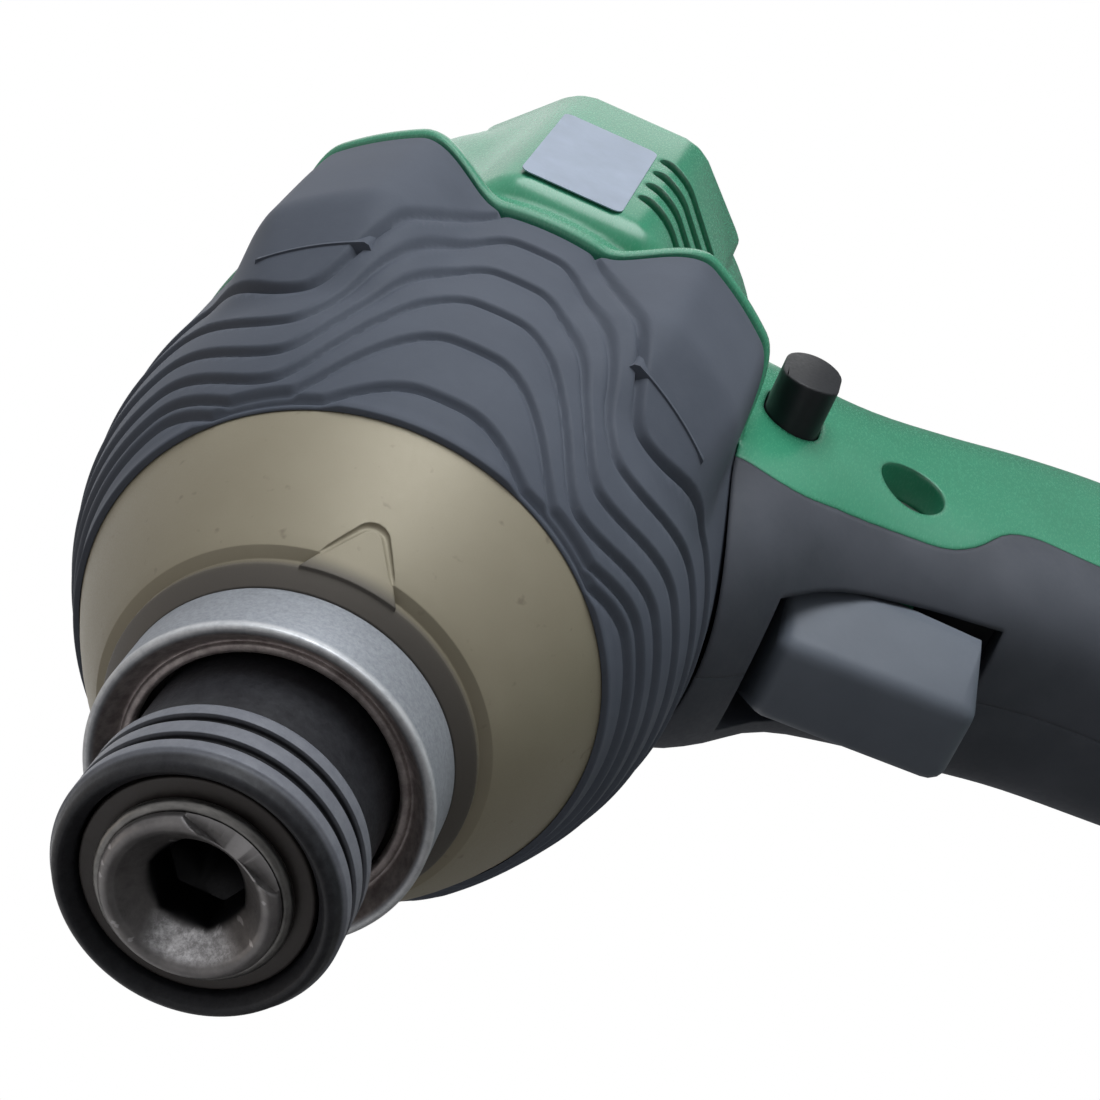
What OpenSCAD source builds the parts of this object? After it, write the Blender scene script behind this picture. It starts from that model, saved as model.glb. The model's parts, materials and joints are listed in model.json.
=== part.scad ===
// Cordless impact driver standing on its battery.
// Millimetres, +X towards the nose, +Y to the tool's left, +Z up.
// The origin is the middle of the battery's flat base.
// Modules work in the tool frame, whose zero is the anvil tip on the drive axis.

/* [Bit holder] */
// Across flats of the hex bit socket
hex_af = 6.35; // [6.35:0.05:6.6]
// Depth of the hex bit socket
socket_depth = 21; // [19:0.5:22]
// Diameter of the anvil shank
shank_d = 13.4; // [13.2:0.1:13.6]
// Outer diameter of the bit sleeve
sleeve_d = 22; // [21.5:0.1:23]
// Length of the bit sleeve
sleeve_len = 20; // [19.5:0.1:20.5]
// Forward pull of the bit sleeve
sleeve_travel = 5; // [4:0.5:5]
// Diameter of the detent balls
ball_d = 4; // [3.8:0.1:4]
// Outer diameter of the bare nose ring
ring_d = 27.8; // [27:0.1:29]
// Length of the bare nose ring
ring_len = 6; // [5:0.5:8]

/* [Impact mechanism] */
// Outer diameter of the hammer case under the rubber
case_d = 52; // [51.5:0.5:53]
// Diameter of the hammer
hammer_d = 39.6; // [38:0.2:40]
// Length of the hammer body
hammer_len = 15; // [14:0.5:15.5]
// Recoil of the hammer
hammer_travel = 7; // [6:0.5:7]
// Length of the anvil bush
bush_len = 11; // [9:0.5:12]
// Length of the anvil lugs
lug_len = 7; // [6:0.5:8]
// Diameter of the spindle shaft
spindle_d = 16; // [15.6:0.1:16.2]

/* [Gears and motor] */
// Tooth module
gear_module = 0.7; // [0.68:0.01:0.7]
// Teeth on the sun pinion
sun_teeth = 12; // [12:2:12]
// Teeth on each planet gear
planet_teeth = 20; // [20:2:20]
// Face width of the gears
gear_w = 7; // [6:0.5:7.5]
// Diameter of the stator core
stator_d = 48; // [46:0.5:48]
// Length of the stator core
stator_len = 16; // [14:0.5:17]
// Diameter of the fan
fan_d = 43; // [38:1:44]

/* [Head] */
// Overall length of the head
head_len = 127; // [126:0.5:132]
// Width of the motor housing
head_w = 58; // [57:0.5:62]
// Height of the motor housing
head_h = 57.6; // [57:0.2:62]
// Rubber thickness of the front protector
rubber_t = 3.4; // [3:0.1:4]
// Angle of the screw bosses above and below the flanks
boss_angle = 33; // [30:1:36]

/* [Handle] */
// Width of the handle at the palm
handle_w = 34; // [33:0.5:37]
// Front to back size of the handle at the palm
handle_depth = 43; // [42:0.5:47]
// Height of the drive axis above the foot's underside
axis_drop = 160; // [158:0.5:166]
// Travel of the trigger
trigger_travel = 7; // [5:0.5:7]
// Width of the trigger where it leaves the handle
trigger_w = 15; // [14:0.5:17]
// Width of the trigger's front face
trigger_face = 9.6; // [8.5:0.1:11]
// Travel of the reversing button to each side
reverse_travel = 3.5; // [2.5:0.25:4]

/* [Battery] */
// Length of the battery
pack_l = 114; // [112:1:124]
// Width of the battery
pack_w = 75; // [74:0.5:80]
// Height of the battery below the foot
pack_h = 58; // [57:0.5:64]
// Diameter of a cell
cell_d = 18.4; // [18:0.1:18.6]
// Length of a cell
cell_len = 65; // [63:0.5:66]
// Inward press of the battery latches
latch_travel = 3; // [2:0.25:3]

/* [Hidden] */
$fn = 64;
eps = 0.01;
// Clearances: running shafts, seated pieces, moulded pockets and moving parts
run = 0.05;
seat = 0.02;
fit = 0.15;
free = 0.4;
// Colours
green = "#2f9a3c";
dark_rubber = "#2b2b2d";
bronze = "#a98a68";
bare_metal = "#c9ccd0";
dark_steel = "#3c3b3a";
steel = "#9a9ea3";
black_plastic = "#202022";
grey_plastic = "#6e7074";
copper = "#b5713a";

// Row frame
pack_gap = 1;
axis_h = axis_drop + pack_gap + pack_h;
pack_front = -14;
pack_rear = pack_front - pack_l;
tip_x = -(pack_front + pack_rear) / 2;

// Bit holder stations along the drive axis, from the anvil tip backwards
shank_r = shank_d / 2;
clip_r = 0.55;
clip_x = -1.55;
washer_t = 1.05;
washer_front = clip_x - clip_r - seat;
washer_rear = washer_front - washer_t;
sleeve_r = sleeve_d / 2;
sleeve_front = -1;
sleeve_rear = sleeve_front - sleeve_len;
sleeve_bore_r = shank_r + 2.3;
sleeve_head = 7.7;
sleeve_neck_r = sleeve_r - 0.8;
land_front = -11.5;
ball_x = -14.5;
land_rear = ball_x - 0.8;
release_x = ball_x - sleeve_travel;
ball_r = ball_d / 2;
ball_seat_r = shank_r - 0.1 - ball_r;
release_r = 8.3;
ring_front = -16;
ring_rear = ring_front - ring_len;
ring_r = ring_d / 2;

// Hammer case stations
spigot_r = ring_r - 1.9;
spigot_front = ring_front - 1.4;
journal_r = 7.5;
journal_front = ring_rear - free;
bush_r = 10;
bush_front = journal_front - 0.2;
bush_rear = bush_front - bush_len;
case_wall_x = bush_rear - 0.3;
thrust_t = 1;
thrust_front = case_wall_x - 0.1;
thrust_rear = thrust_front - thrust_t;
lug_front = thrust_rear - 0.3;
lug_rear = lug_front - lug_len;
lug_r = 16;
lug_w = 9;
anvil_disc_r = lug_r - 5;
hammer_front = lug_rear - 0.5;
hammer_rear = hammer_front - hammer_len;
hammer_r = hammer_d / 2;
spindle_r = spindle_d / 2;
cam_ball_r = 2.6;
cam_track_r = spindle_r + 0.3;
cam_x = hammer_front - 7.2;
cam_pitch = 25;
cam_arm = 45;
spring_in_r = spindle_r + 3.3;
spring_out_r = hammer_r - 2.6;
spring_floor = hammer_front - 5;
spring_wire = 1.3;
spring_mean_r = (spring_in_r + spring_out_r) / 2;
case_r = case_d / 2;
cavity_r = hammer_r + 0.8;
dome_start_r = ring_r + 2.5;
dome_front = ring_rear - 2.6;
dome_len = 30;
flange_x = -68;

// Gear stations
carrier_r = 17;
carrier_front = hammer_rear - hammer_travel - 0.6;
pocket_front = carrier_front - 2.4;
pocket_rear = pocket_front - gear_w - free;
carrier_rear = pocket_rear - 1.8;
gear_front = pocket_front - free / 2;
gear_rear = gear_front - gear_w;
ring_teeth = sun_teeth + 2 * planet_teeth;
gear_centre = gear_module * (sun_teeth + planet_teeth) / 2;
addendum = 0.8 * gear_module;
dedendum = 1.15 * gear_module;
pressure_angle = 20;
backlash = 0.12;
ring_gear_r = cavity_r - 0.1;
pin_r = 2.5;
sun_bore_r = gear_module * sun_teeth / 2 + addendum + free;
hub_r = 7.5;
case_rear = carrier_rear - 0.6;

// Motor stations
cover_front = case_rear - 0.3;
spindle_bearing_r = 12;
spindle_bearing_w = 5;
spindle_bearing_front = carrier_rear - 1.2;
spindle_bearing_rear = spindle_bearing_front - spindle_bearing_w;
hub_end = spindle_bearing_rear + 0.3;
hub_rear = spindle_bearing_rear - 0.2;
motor_bearing_r = 8;
motor_bearing_w = 5;
shaft_r = 2.5;
front_bearing_front = hub_rear - 0.8;
front_bearing_rear = front_bearing_front - motor_bearing_w;
board_t = 1.4;
board_front = front_bearing_rear - 0.6;
coil_overhang = 2.6;
stator_front = board_front - board_t - coil_overhang - 0.6;
stator_rear = stator_front - stator_len;
stator_r = stator_d / 2;
stator_bore_r = 13;
rotor_r = stator_bore_r - free;
fan_front = stator_rear - coil_overhang - 1.2;
fan_w = 4.4;
fan_rear = fan_front - fan_w;
fan_r = fan_d / 2;
cover_split = -head_len + 8;
rear_bearing_rear = -head_len + 2.6;
rear_bearing_front = rear_bearing_rear + motor_bearing_w;
motor_bore_r = stator_r + fit;
pinion_seat_r = 1.6;

// Head outline: station, width and height factors and corner squareness
head_slices = [[-66, 0.97, 0.98, 2.2], [-76, 1, 1, 2.4], [-88, 1, 1, 2.6],
    [cover_split + 15, 0.99, 0.97, 2.7], [cover_split + 5, 0.97, 0.93, 2.7],
    [cover_split, 0.945, 0.89, 2.6]];
cover_slices = [[cover_split - eps, 0.945, 0.89, 2.6], [cover_split - 4, 0.9, 0.84, 2.5],
    [-head_len + 1.2, 0.78, 0.72, 2.3], [-head_len, 0.7, 0.64, 2.2]];
wall = 3;

// Handle outline: height below the axis, centre, depth and width factors, corner squareness
palm_x = -94;
handle_lean = 0.12;
handle_slices = [[-18, 2, 1.1, 1.2, 2.4], [-30, 2, 1.09, 1.06, 2.4], [-40, 1, 1.02, 0.95, 2.5],
    [-56, 0, 0.98, 0.93, 2.5], [-76, 0, 1, 0.99, 2.5], [-96, 0, 0.99, 1, 2.5],
    [-114, 0, 0.94, 0.97, 2.5], [-128, 1.5, 0.98, 1.02, 2.5], [-134, 5, 1.21, 1.3, 2.7]];
foot_bottom = -axis_drop;
foot_x = -88;
foot_len = 89;
foot_w = pack_w - 3;
// Foot outline: height, shift, insets of half length and half width, corner squareness
foot_slices = [[-140, -4, 8.5, 5, 3], [-146, 0, 0.6, 1, 3.6], [foot_bottom + 1.2, 0, 0, 0, 4.2],
    [foot_bottom, 0, 1, 1, 4.2]];
foot_front = foot_x + foot_len / 2;
foot_rear = foot_x - foot_len / 2;
grip_t = 1.5;

// Trigger, switch and reversing button
trigger_top = -34;
trigger_bottom = -59;
trigger_tip = -66.5;
trigger_rear = -78;
trigger_edge_r = 2;
trigger_rake = 2;
trigger_base = 2;
trigger_toe = 3.5;
trigger_pocket = 3;
plunger_r = 2;
plunger_z = -53;
switch_front = trigger_rear - trigger_travel - 0.4;
switch_len = 23;
switch_top = -48;
switch_h = 20;
switch_w = 17;
reverse_x = -88;
reverse_z = -28.4;
reverse_l = 9;
reverse_h = 6;
reverse_proud = 0.5;
reverse_reach = handle_w / 2 * handle_slices[1][3] + reverse_proud + reverse_travel;

// Housing screws: place, distance of the head's seat from the split, and length
screw_r = 1.5;
screw_head_r = 3.4;
screw_head_h = 2.4;
handle_screws = [[-89, -42.5, 9, 19], [-111, -72, 9, 19], [-96, -118, 9, 19]];
foot_screws = [[foot_rear + 11, foot_bottom + 17.4, 14, 24], [foot_front - 17, foot_bottom + 13.6, 18, 28]];
all_screws = concat(handle_screws, foot_screws);

// Foot: battery slot, controller pocket, terminals, hook inserts
slot_rear = -112;
tongue_w = 44;
tongue_flange = 3;
tongue_h = 8.6;
lip_h = 4.6;
slot_top = foot_bottom + tongue_h + free;
controller_size = [42, 44, 6.6];
controller_x = -88;
controller_z = slot_top + 1.2;
blade_y = [-12, -4, 4, 12];
insert_x = foot_front - 29;
insert_z = foot_bottom + 13.2;
insert_r = 3.2;
insert_hole_r = 1.65;
insert_len = 8;
insert_y = foot_w / 2 - 2;
panel_tilt = 16;
panel_place = [-64.5, -136.9];
panel_size = [17, 22, 1.6];
button_r = 3;
button_travel = 0.6;
lens_tilt = 31;
lens_place = [foot_front - 5, -142.6];
lens_r = 3.4;
lens_depth = 4;

// Battery
pack_top = foot_bottom - pack_gap;
pack_bottom = pack_top - pack_h;
pack_wall = 3.2;
pack_split = pack_bottom + 29;
cell_rows = 2;
cells_per_row = 5;
cell_pitch_x = cell_d + 1;
cell_pitch_z = cell_d + 0.4;
cell_floor = pack_bottom + pack_wall;
pack_x = (pack_front + pack_rear) / 2;
bay_l = cells_per_row * cell_pitch_x + 0.2;
bay_w = cell_len + 0.8;
bay_top = cell_floor + cell_rows * cell_pitch_z + 4;
latch_x = -62;
latch_l = 24;
latch_h = 9.6;
latch_z = pack_top - 1.4 - latch_h / 2;
latch_depth = 10.2;
latch_proud = 1.1;
latch_in_y = pack_w / 2 + latch_proud - latch_depth;
latch_pocket_y = latch_in_y - latch_travel - 2.4;
tab_l = 8;
tab_t = 2.8;
tab_rise = 4.6;

// Moves a piece from the tool frame to the row frame
module place() {
    translate([tip_x, 0, axis_h]) children();
}

// Stands a shape drawn in XY on the drive axis at x, facing the nose
module facing_x(x) {
    translate([x, 0, 0]) rotate([90, 0, 90]) children();
}

// Solid of revolution about the drive axis from [radius, x] points
module turned(points) {
    facing_x(0) rotate_extrude() polygon(points);
}

// Cylinder along the drive axis
module rod(rear, front, r) {
    facing_x(rear) cylinder(r = r, h = front - rear);
}

// Tube along the drive axis
module tube(rear, front, inner, outer) {
    difference() {
        rod(rear, front, outer);
        rod(rear - 1, front + 1, inner);
    }
}

// Cylinder along Y
module pin_y(x, z, r, y0, y1) {
    translate([x, y0, z]) rotate([-90, 0, 0]) cylinder(r = r, h = y1 - y0);
}

function sign_power(v, p) = sign(v) * pow(abs(v), p);

// Rounded-square outline
function superellipse(a, b, n, steps = 36) = [for (i = [0:steps - 1])
    let (t = 360 * i / steps) [a * sign_power(cos(t), 2 / n), b * sign_power(sin(t), 2 / n)]];

// Eases from 0 to 1 as v runs from a to b
function ease(a, b, v) = let (t = min(1, max(0, (v - a) / (b - a)))) t * t * (3 - 2 * t);

// Rounded rectangle drawn about the middle
module rounded_rect(l, w, r) {
    offset(r) square([l - 2 * r, w - 2 * r], center = true);
}

// Unbroken coil of round wire along Z, made of six-sided rings, eight to a turn
module coil(mean_r, wire, length, turns) {
    rings = ceil(turns * 8);
    sides = 6;
    run_len = length - 2 * wire;
    points = [for (i = [0:rings], j = [0:sides - 1])
        let (a = 360 * turns * i / rings, b = 360 * j / sides, r = mean_r + wire * cos(b))
        [r * cos(a), r * sin(a), wire + run_len * i / rings + wire * sin(b)]];
    skin = [for (i = [0:rings - 1], j = [0:sides - 1])
        let (k = (j + 1) % sides, p = i * sides, q = p + sides)
        each [[p + j, q + k, q + j], [p + j, p + k, q + k]]];
    caps = [[for (j = [sides - 1:-1:0]) j], [for (j = [0:sides - 1]) rings * sides + j]];
    echo(coil_gap = run_len / turns - 2 * wire);
    polyhedron(points, concat(skin, caps));
}

// Involute of an angle, in degrees
function involute(a) = tan(a) * 180 / PI - a;

// Half the angle of a tooth at radius r, thinned by play at the pitch circle
function tooth_half(teeth, r, play) =
    let (pitch_r = gear_module * teeth / 2, base_r = pitch_r * cos(pressure_angle),
        a = r > base_r ? acos(base_r / r) : 0)
    90 / teeth + involute(pressure_angle) - involute(a) - play / 2 / pitch_r * 180 / PI;

// Gear outline with a tooth on the X axis
function gear_outline(teeth, root_r, tip_r, play, steps = 4) = [for (t = [0:teeth - 1])
    let (mid = 360 * t / teeth)
    each concat(
        [for (i = [0:steps]) let (r = root_r + (tip_r - root_r) * i / steps,
            h = tooth_half(teeth, r, play)) [r * cos(mid - h), r * sin(mid - h)]],
        [for (i = [steps:-1:0]) let (r = root_r + (tip_r - root_r) * i / steps,
            h = tooth_half(teeth, r, play)) [r * cos(mid + h), r * sin(mid + h)]])];

// External gear on the drive axis
module gear(teeth, turn) {
    pitch_r = gear_module * teeth / 2;
    facing_x(gear_rear) rotate(turn) linear_extrude(gear_w)
        polygon(gear_outline(teeth, pitch_r - dedendum, pitch_r + addendum, backlash));
}

// Deep-groove ball bearing on the drive axis
module bearing(rear, width, inner, outer, balls) {
    mid = rear + width / 2;
    track_r = (inner + outer) / 2;
    ball = (outer - inner) * 0.26;
    land = (outer - inner) * 0.3;
    difference() {
        union() {
            tube(rear, rear + width, inner, inner + land);
            tube(rear, rear + width, outer - land, outer);
        }
        facing_x(mid) rotate_extrude() translate([track_r, 0]) circle(r = ball + run);
    }
    for (i = [0:balls - 1]) rotate([360 * i / balls, 0, 0]) translate([mid, 0, track_r]) sphere(r = ball);
}

// Torx-headed screw along -Y with its head's seat at the origin
module screw(length) {
    rotate([90, 0, 0]) {
        cylinder(r = screw_r, h = length);
        translate([0, 0, -screw_head_h]) difference() {
            cylinder(r = screw_head_r, h = screw_head_h);
            translate([0, 0, -1]) cylinder(r = 1.5, h = 2.4, $fn = 6);
        }
    }
}

// Bit holder

module anvil() {
    color(dark_steel) place() difference() {
        union() {
            turned([[0, lug_rear], [anvil_disc_r, lug_rear], [anvil_disc_r, lug_front], [journal_r, lug_front],
                [journal_r, journal_front], [shank_r, journal_front], [shank_r, clip_x - clip_r],
                [shank_r - 0.45, clip_x - clip_r], [shank_r - 0.45, clip_x + clip_r],
                [shank_r, clip_x + clip_r], [shank_r, -0.4], [shank_r - 0.4, 0], [0, 0]]);
            intersection() {
                translate([lug_rear, -lug_w / 2, -lug_r]) cube([lug_len, lug_w, 2 * lug_r]);
                rod(lug_rear, lug_front, lug_r);
            }
        }
        facing_x(-socket_depth) cylinder(d = hex_af / cos(30), h = socket_depth + 1, $fn = 6);
        facing_x(-2.2) cylinder(r1 = hex_af / 2, r2 = shank_r - 1.3, h = 2.2 + eps);
        for (s = [-1, 1]) translate([ball_x, 0, 0]) rotate([90 - 90 * s, 0, 0]) cylinder(r = ball_r + run, h = shank_r + 1);
        rod(lug_rear - 1, lug_rear + 9, spindle_r / 2 + run);
        rotate([-19, 0, 0]) translate([-0.9, shank_r - 0.7, -shank_r]) cube([2, 2, 2 * shank_r]);
    }
}

module retaining_ring() {
    color(steel) place() facing_x(clip_x) rotate([0, 0, 200])
        rotate_extrude(angle = 340) translate([shank_r - 0.4 + clip_r, 0]) circle(r = clip_r);
}

module stop_washer() {
    color(dark_steel) place() tube(washer_rear, washer_front, shank_r + run, sleeve_bore_r - 0.25);
}

module bit_sleeve() {
    groove_w = 0.8;
    groove_r = sleeve_r - 0.6;
    grooves = [for (i = [0, 1]) sleeve_front - 2.8 - 2.5 * i];
    bands = [for (g = grooves) each [[sleeve_r, g], [groove_r, g], [groove_r, g - groove_w], [sleeve_r, g - groove_w]]];
    shoulder = [for (a = [0:15:90]) [sleeve_r - 1 + sin(a), sleeve_front - 1 + cos(a)]];
    head_rear = sleeve_front - sleeve_head;
    color(black_plastic) place() turned(concat(
        [[sleeve_bore_r, sleeve_front]], shoulder, bands,
        [[sleeve_r, head_rear], [sleeve_neck_r, head_rear - 0.5], [sleeve_neck_r, sleeve_rear],
        [release_r, sleeve_rear], [release_r, release_x], [shank_r + 0.08, land_rear],
        [shank_r + 0.08, land_front], [sleeve_bore_r, land_front]]));
}

module sleeve_spring() {
    length = washer_rear - land_front - 0.1;
    color(steel) place() facing_x(land_front + 0.05)
        coil((shank_r + sleeve_bore_r) / 2, 0.6, length, 3);
}

module detent_ball(side) {
    color(steel) place() translate([ball_x, 0, side * ball_seat_r]) sphere(r = ball_r);
}

module detent_ball_top() {
    detent_ball(1);
}

module detent_ball_bottom() {
    detent_ball(-1);
}

// Hammer case and front protector

// Outer radius of the hammer case at x
function case_outer(x) = let (u = min(1, max(0, (dome_front - x) / dome_len)))
    dome_start_r + (case_r - dome_start_r) * (1 - pow(1 - u, 2));

module nose_ring() {
    color(bare_metal) place() turned([[spigot_r + seat, ring_rear], [ring_r, ring_rear],
        [ring_r, ring_front - 0.5], [ring_r - 0.5, ring_front], [ring_r - 0.9, ring_front],
        [spigot_r + 0.3, ring_front - 0.9], [spigot_r + seat, ring_front - 0.9]]);
}

// Places a child at each of the four screw bosses, at radius r from the axis
module at_bosses(r) {
    for (a = [boss_angle, 180 - boss_angle, 180 + boss_angle, 360 - boss_angle])
        rotate([a, 0, 0]) translate([0, r, 0]) children();
}

ear_r = 4;
case_screw_r = 1.9;
ear_place = motor_bore_r + case_screw_r + 0.4;
ear_front = flange_x + 9;
case_screw_rear = case_rear + 0.6;

module hammer_case() {
    dome = [for (i = [0:12]) let (x = dome_front - dome_len * i / 12) [case_outer(x), x]];
    color(bronze) place() difference() {
        union() {
            turned(concat([[sleeve_neck_r + 0.25, spigot_front], [spigot_r, spigot_front],
                [spigot_r, ring_rear - seat], [ring_r + 1.4, ring_rear - seat],
                [ring_r + 1.4, dome_front + 0.4]], dome,
                [[case_r, flange_x], [motor_bore_r - 0.1, flange_x], [motor_bore_r - 0.1, case_rear],
                [cavity_r, case_rear], [cavity_r, case_wall_x - 6.6], [lug_r + 0.8, case_wall_x],
                [bush_r + seat, case_wall_x], [bush_r + seat, bush_front + 0.2],
                [sleeve_neck_r + 0.25, bush_front + 0.2]]));
            at_bosses(ear_place) rod(flange_x, ear_front, ear_r);
        }
        at_bosses(ear_place) {
            rod(flange_x - 1, ear_front + 1, case_screw_r + fit);
            rod(ear_front, ear_front + 14, screw_head_r + 0.3);
        }
        rod(case_rear - 1, case_wall_x - 6.6, cavity_r);
    }
}

module case_bush() {
    color(copper) place() tube(bush_rear, bush_front, journal_r + run, bush_r);
}

module anvil_washer() {
    color("#e8e4d8") place() tube(thrust_rear, thrust_front, journal_r + 0.1, lug_r - 2);
}

module case_screws() {
    color(steel) place() at_bosses(ear_place) {
        rod(ear_front + seat, ear_front + 3, screw_head_r);
        rod(case_screw_rear, ear_front + 1, case_screw_r);
    }
}

// Closeness to a screw boss at angle a round the axis, 1 on the boss and 0 away from it
boss_spread = 30;
function boss_near(a) = max([for (b = [boss_angle, 180 - boss_angle, 180 + boss_angle, 360 - boss_angle])
    let (d = abs((a - b + 540) % 360 - 180)) 1 - ease(4, boss_spread, d)]);

// Terraced skin of the front protector: rows of [x, radius] from front to rear at angle a
terraces = 6;
terrace_pitch = 3;
terrace_reach = 3.2;
boss_rise = 2.7;
rubber_front = -36.7;
rubber_rear = -70;
wave = 5;
function terrace_x(k, a) = rubber_front - 5.2 - terrace_pitch * k + terrace_reach * (boss_near(a) - 0.3);
function skin_r(x, k, a) = case_outer(x) + 0.5 + (rubber_t - 0.5) * k / terraces
    + boss_rise * boss_near(a) * ease(-50, -60, x);
function rear_x(a) = rubber_rear - wave * boss_near(a);
function skin_rows(a) = concat(
    [[rubber_front, case_outer(rubber_front) + 0.5]],
    [for (k = [0:terraces - 1]) let (x = terrace_x(k, a))
        each [[x + 0.3, skin_r(x + 0.3, k, a)], [x - 0.3, skin_r(x - 0.3, k + 1, a)]]],
    [for (i = [1:5]) let (x0 = terrace_x(terraces - 1, a) - 0.3, x = x0 + (rear_x(a) - x0) * i / 5)
        [x, skin_r(x, terraces, a) - 1.2 * ease(-66, -76, x)]]);

// Inner wall of the protector, from its rear edge forwards: over the housing's front, then over the case
overlap_r = head_w / 2 * 0.97 - 1.6;
inner_rows = concat([[rubber_rear, overlap_r], [flange_x - 0.2, overlap_r], [flange_x + 0.2, case_r + fit]],
    [for (i = [0:5]) let (x = dome_front - dome_len + (rubber_front - dome_front + dome_len) * i / 5)
        [x, case_outer(x) + fit]]);

// Closed ring through columns of [x, radius] points round the drive axis
module ring_skin(columns) {
    n = len(columns);
    m = len(columns[0]);
    points = [for (c = [0:n - 1], p = columns[c]) [p[0], p[1] * cos(360 * c / n), p[1] * sin(360 * c / n)]];
    polyhedron(points, [for (c = [0:n - 1], i = [0:m - 1])
        let (p = c * m, q = ((c + 1) % n) * m, j = (i + 1) % m)
        each [[p + i, q + j, p + j], [p + i, q + i, q + j]]]);
}

protector_columns = 60;
protector_angles = [for (c = [0:protector_columns - 1]) 360 * c / protector_columns];

module protector_form() {
    ring_skin([for (a = protector_angles) concat(skin_rows(a),
        [for (p = inner_rows) [p == inner_rows[0] ? rear_x(a) : p[0], p[1]]])]);
}

// Room for the protector over the front of the housing
module protector_seat() {
    ring_skin([for (a = protector_angles) [[-40, head_w], [rear_x(a) - 0.25, head_w],
        [rear_x(a) - 0.25, overlap_r - 0.1], [-40, overlap_r - 0.1]]]);
}

module front_protector() {
    color(dark_rubber) place() difference() {
        protector_form();
        at_bosses(ear_place) {
            rod(flange_x - 1, ear_front + 3.4, ear_r + 0.2);
            rod(case_screw_rear - 1, flange_x, case_screw_r + 0.4);
        }
    }
}

// Impact mechanism

module hammer() {
    color(dark_steel) place() difference() {
        union() {
            turned([[spindle_r + run, hammer_rear], [spring_in_r, hammer_rear], [spring_in_r, spring_floor],
                [spring_out_r, spring_floor], [spring_out_r, hammer_rear], [hammer_r, hammer_rear],
                [hammer_r, hammer_front - 1], [hammer_r - 1, hammer_front], [spindle_r + run, hammer_front]]);
            intersection() {
                translate([hammer_front - 1, -lug_r, -lug_w / 2]) cube([lug_len + 0.6, 2 * lug_r, lug_w]);
                tube(hammer_front - 1, lug_front, anvil_disc_r + 0.6, lug_r);
            }
        }
        for (s = [-1, 1]) translate([0, s * cam_track_r, 0]) rod(cam_x - cam_ball_r - 0.2, hammer_front + lug_len, cam_ball_r + 0.1);
    }
}

module spring_washer() {
    color(steel) place() tube(spring_floor - 1.1, spring_floor - 0.1, spring_in_r + 0.3, spring_out_r - 0.3);
}

module hammer_spring() {
    front = spring_floor - 1.2;
    color(steel) place() facing_x(carrier_front + 0.1)
        coil(spring_mean_r, spring_wire, front - carrier_front - 0.2, 3);
}

module cam_balls() {
    color(steel) place() for (s = [-1, 1]) translate([cam_x, s * cam_track_r, 0]) sphere(r = cam_ball_r);
}

module spindle() {
    color(steel) place() difference() {
        turned([[0, hub_end], [hub_r, hub_end], [hub_r, carrier_rear], [carrier_r, carrier_rear],
            [carrier_r, carrier_front], [spindle_r, carrier_front], [spindle_r, lug_rear - 0.6],
            [spindle_r / 2, lug_rear - 0.6], [spindle_r / 2, lug_rear + 8], [0, lug_rear + 8]]);
        rod(hub_rear - 1, pocket_front, sun_bore_r);
        for (s = [-1, 1]) translate([0, 0, s * gear_centre]) {
            rod(pocket_rear, pocket_front, gear_module * planet_teeth / 2 + addendum + free);
            rod(carrier_rear - 1, carrier_front + 1, pin_r);
        }
        for (s = [0, 180], arm = [-1, 1]) rotate([s, 0, 0]) translate([cam_x, 0, 0]) rotate([0, 0, arm * cam_pitch])
            facing_x(0) rotate([0, 0, arm > 0 ? 0 : -cam_arm]) rotate_extrude(angle = cam_arm)
            translate([cam_track_r, 0]) circle(r = cam_ball_r + 0.1);
        for (s = [-1, 1]) translate([cam_x, s * cam_track_r, 0]) sphere(r = cam_ball_r + 0.1);
    }
}

module planet_pins() {
    color(steel) place() for (s = [-1, 1]) translate([0, 0, s * gear_centre])
        rod(carrier_rear + 0.2, carrier_front - 0.3, pin_r - seat);
}

module planet_gear(side) {
    color(dark_steel) place() translate([0, 0, side * gear_centre]) difference() {
        gear(planet_teeth, 90);
        rod(gear_rear - 1, gear_front + 1, pin_r + run);
    }
}

module planet_gear_top() {
    planet_gear(1);
}

module planet_gear_bottom() {
    planet_gear(-1);
}

module ring_gear() {
    pitch_r = gear_module * ring_teeth / 2;
    color(dark_steel) place() difference() {
        rod(gear_rear - 0.2, gear_front + 0.2, ring_gear_r);
        facing_x(gear_rear - 1) rotate(90) linear_extrude(gear_w + 2)
            polygon(gear_outline(ring_teeth, pitch_r - addendum, pitch_r + dedendum, -backlash));
    }
}

module sun_pinion() {
    color(steel) place() difference() {
        union() {
            gear(sun_teeth, 90 + 180 / sun_teeth);
            rod(hub_rear, gear_rear, gear_module * sun_teeth / 2 - dedendum);
        }
        rod(hub_rear - 1, gear_front + 1, pinion_seat_r + seat);
    }
}

module gear_cover() {
    color(grey_plastic) place() turned([[spindle_bearing_r + seat, cover_front], [motor_bore_r - 0.1, cover_front],
        [motor_bore_r - 0.1, cover_front - 3], [spindle_bearing_r + 3, cover_front - 4],
        [spindle_bearing_r + 3, hub_rear - 0.4], [motor_bearing_r + 2, front_bearing_front - 1],
        [motor_bearing_r + 2, front_bearing_rear], [motor_bearing_r + seat, front_bearing_rear],
        [motor_bearing_r + seat, front_bearing_front], [motor_bearing_r - 2, front_bearing_front],
        [motor_bearing_r - 2, spindle_bearing_rear - seat], [spindle_bearing_r + seat, spindle_bearing_rear - seat]]);
}

module spindle_bearing() {
    color(steel) place() bearing(spindle_bearing_rear, spindle_bearing_w, hub_r + seat, spindle_bearing_r, 12);
}

// Motor

module front_bearing() {
    color(steel) place() bearing(front_bearing_rear, motor_bearing_w, shaft_r + seat, motor_bearing_r, 7);
}

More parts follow.
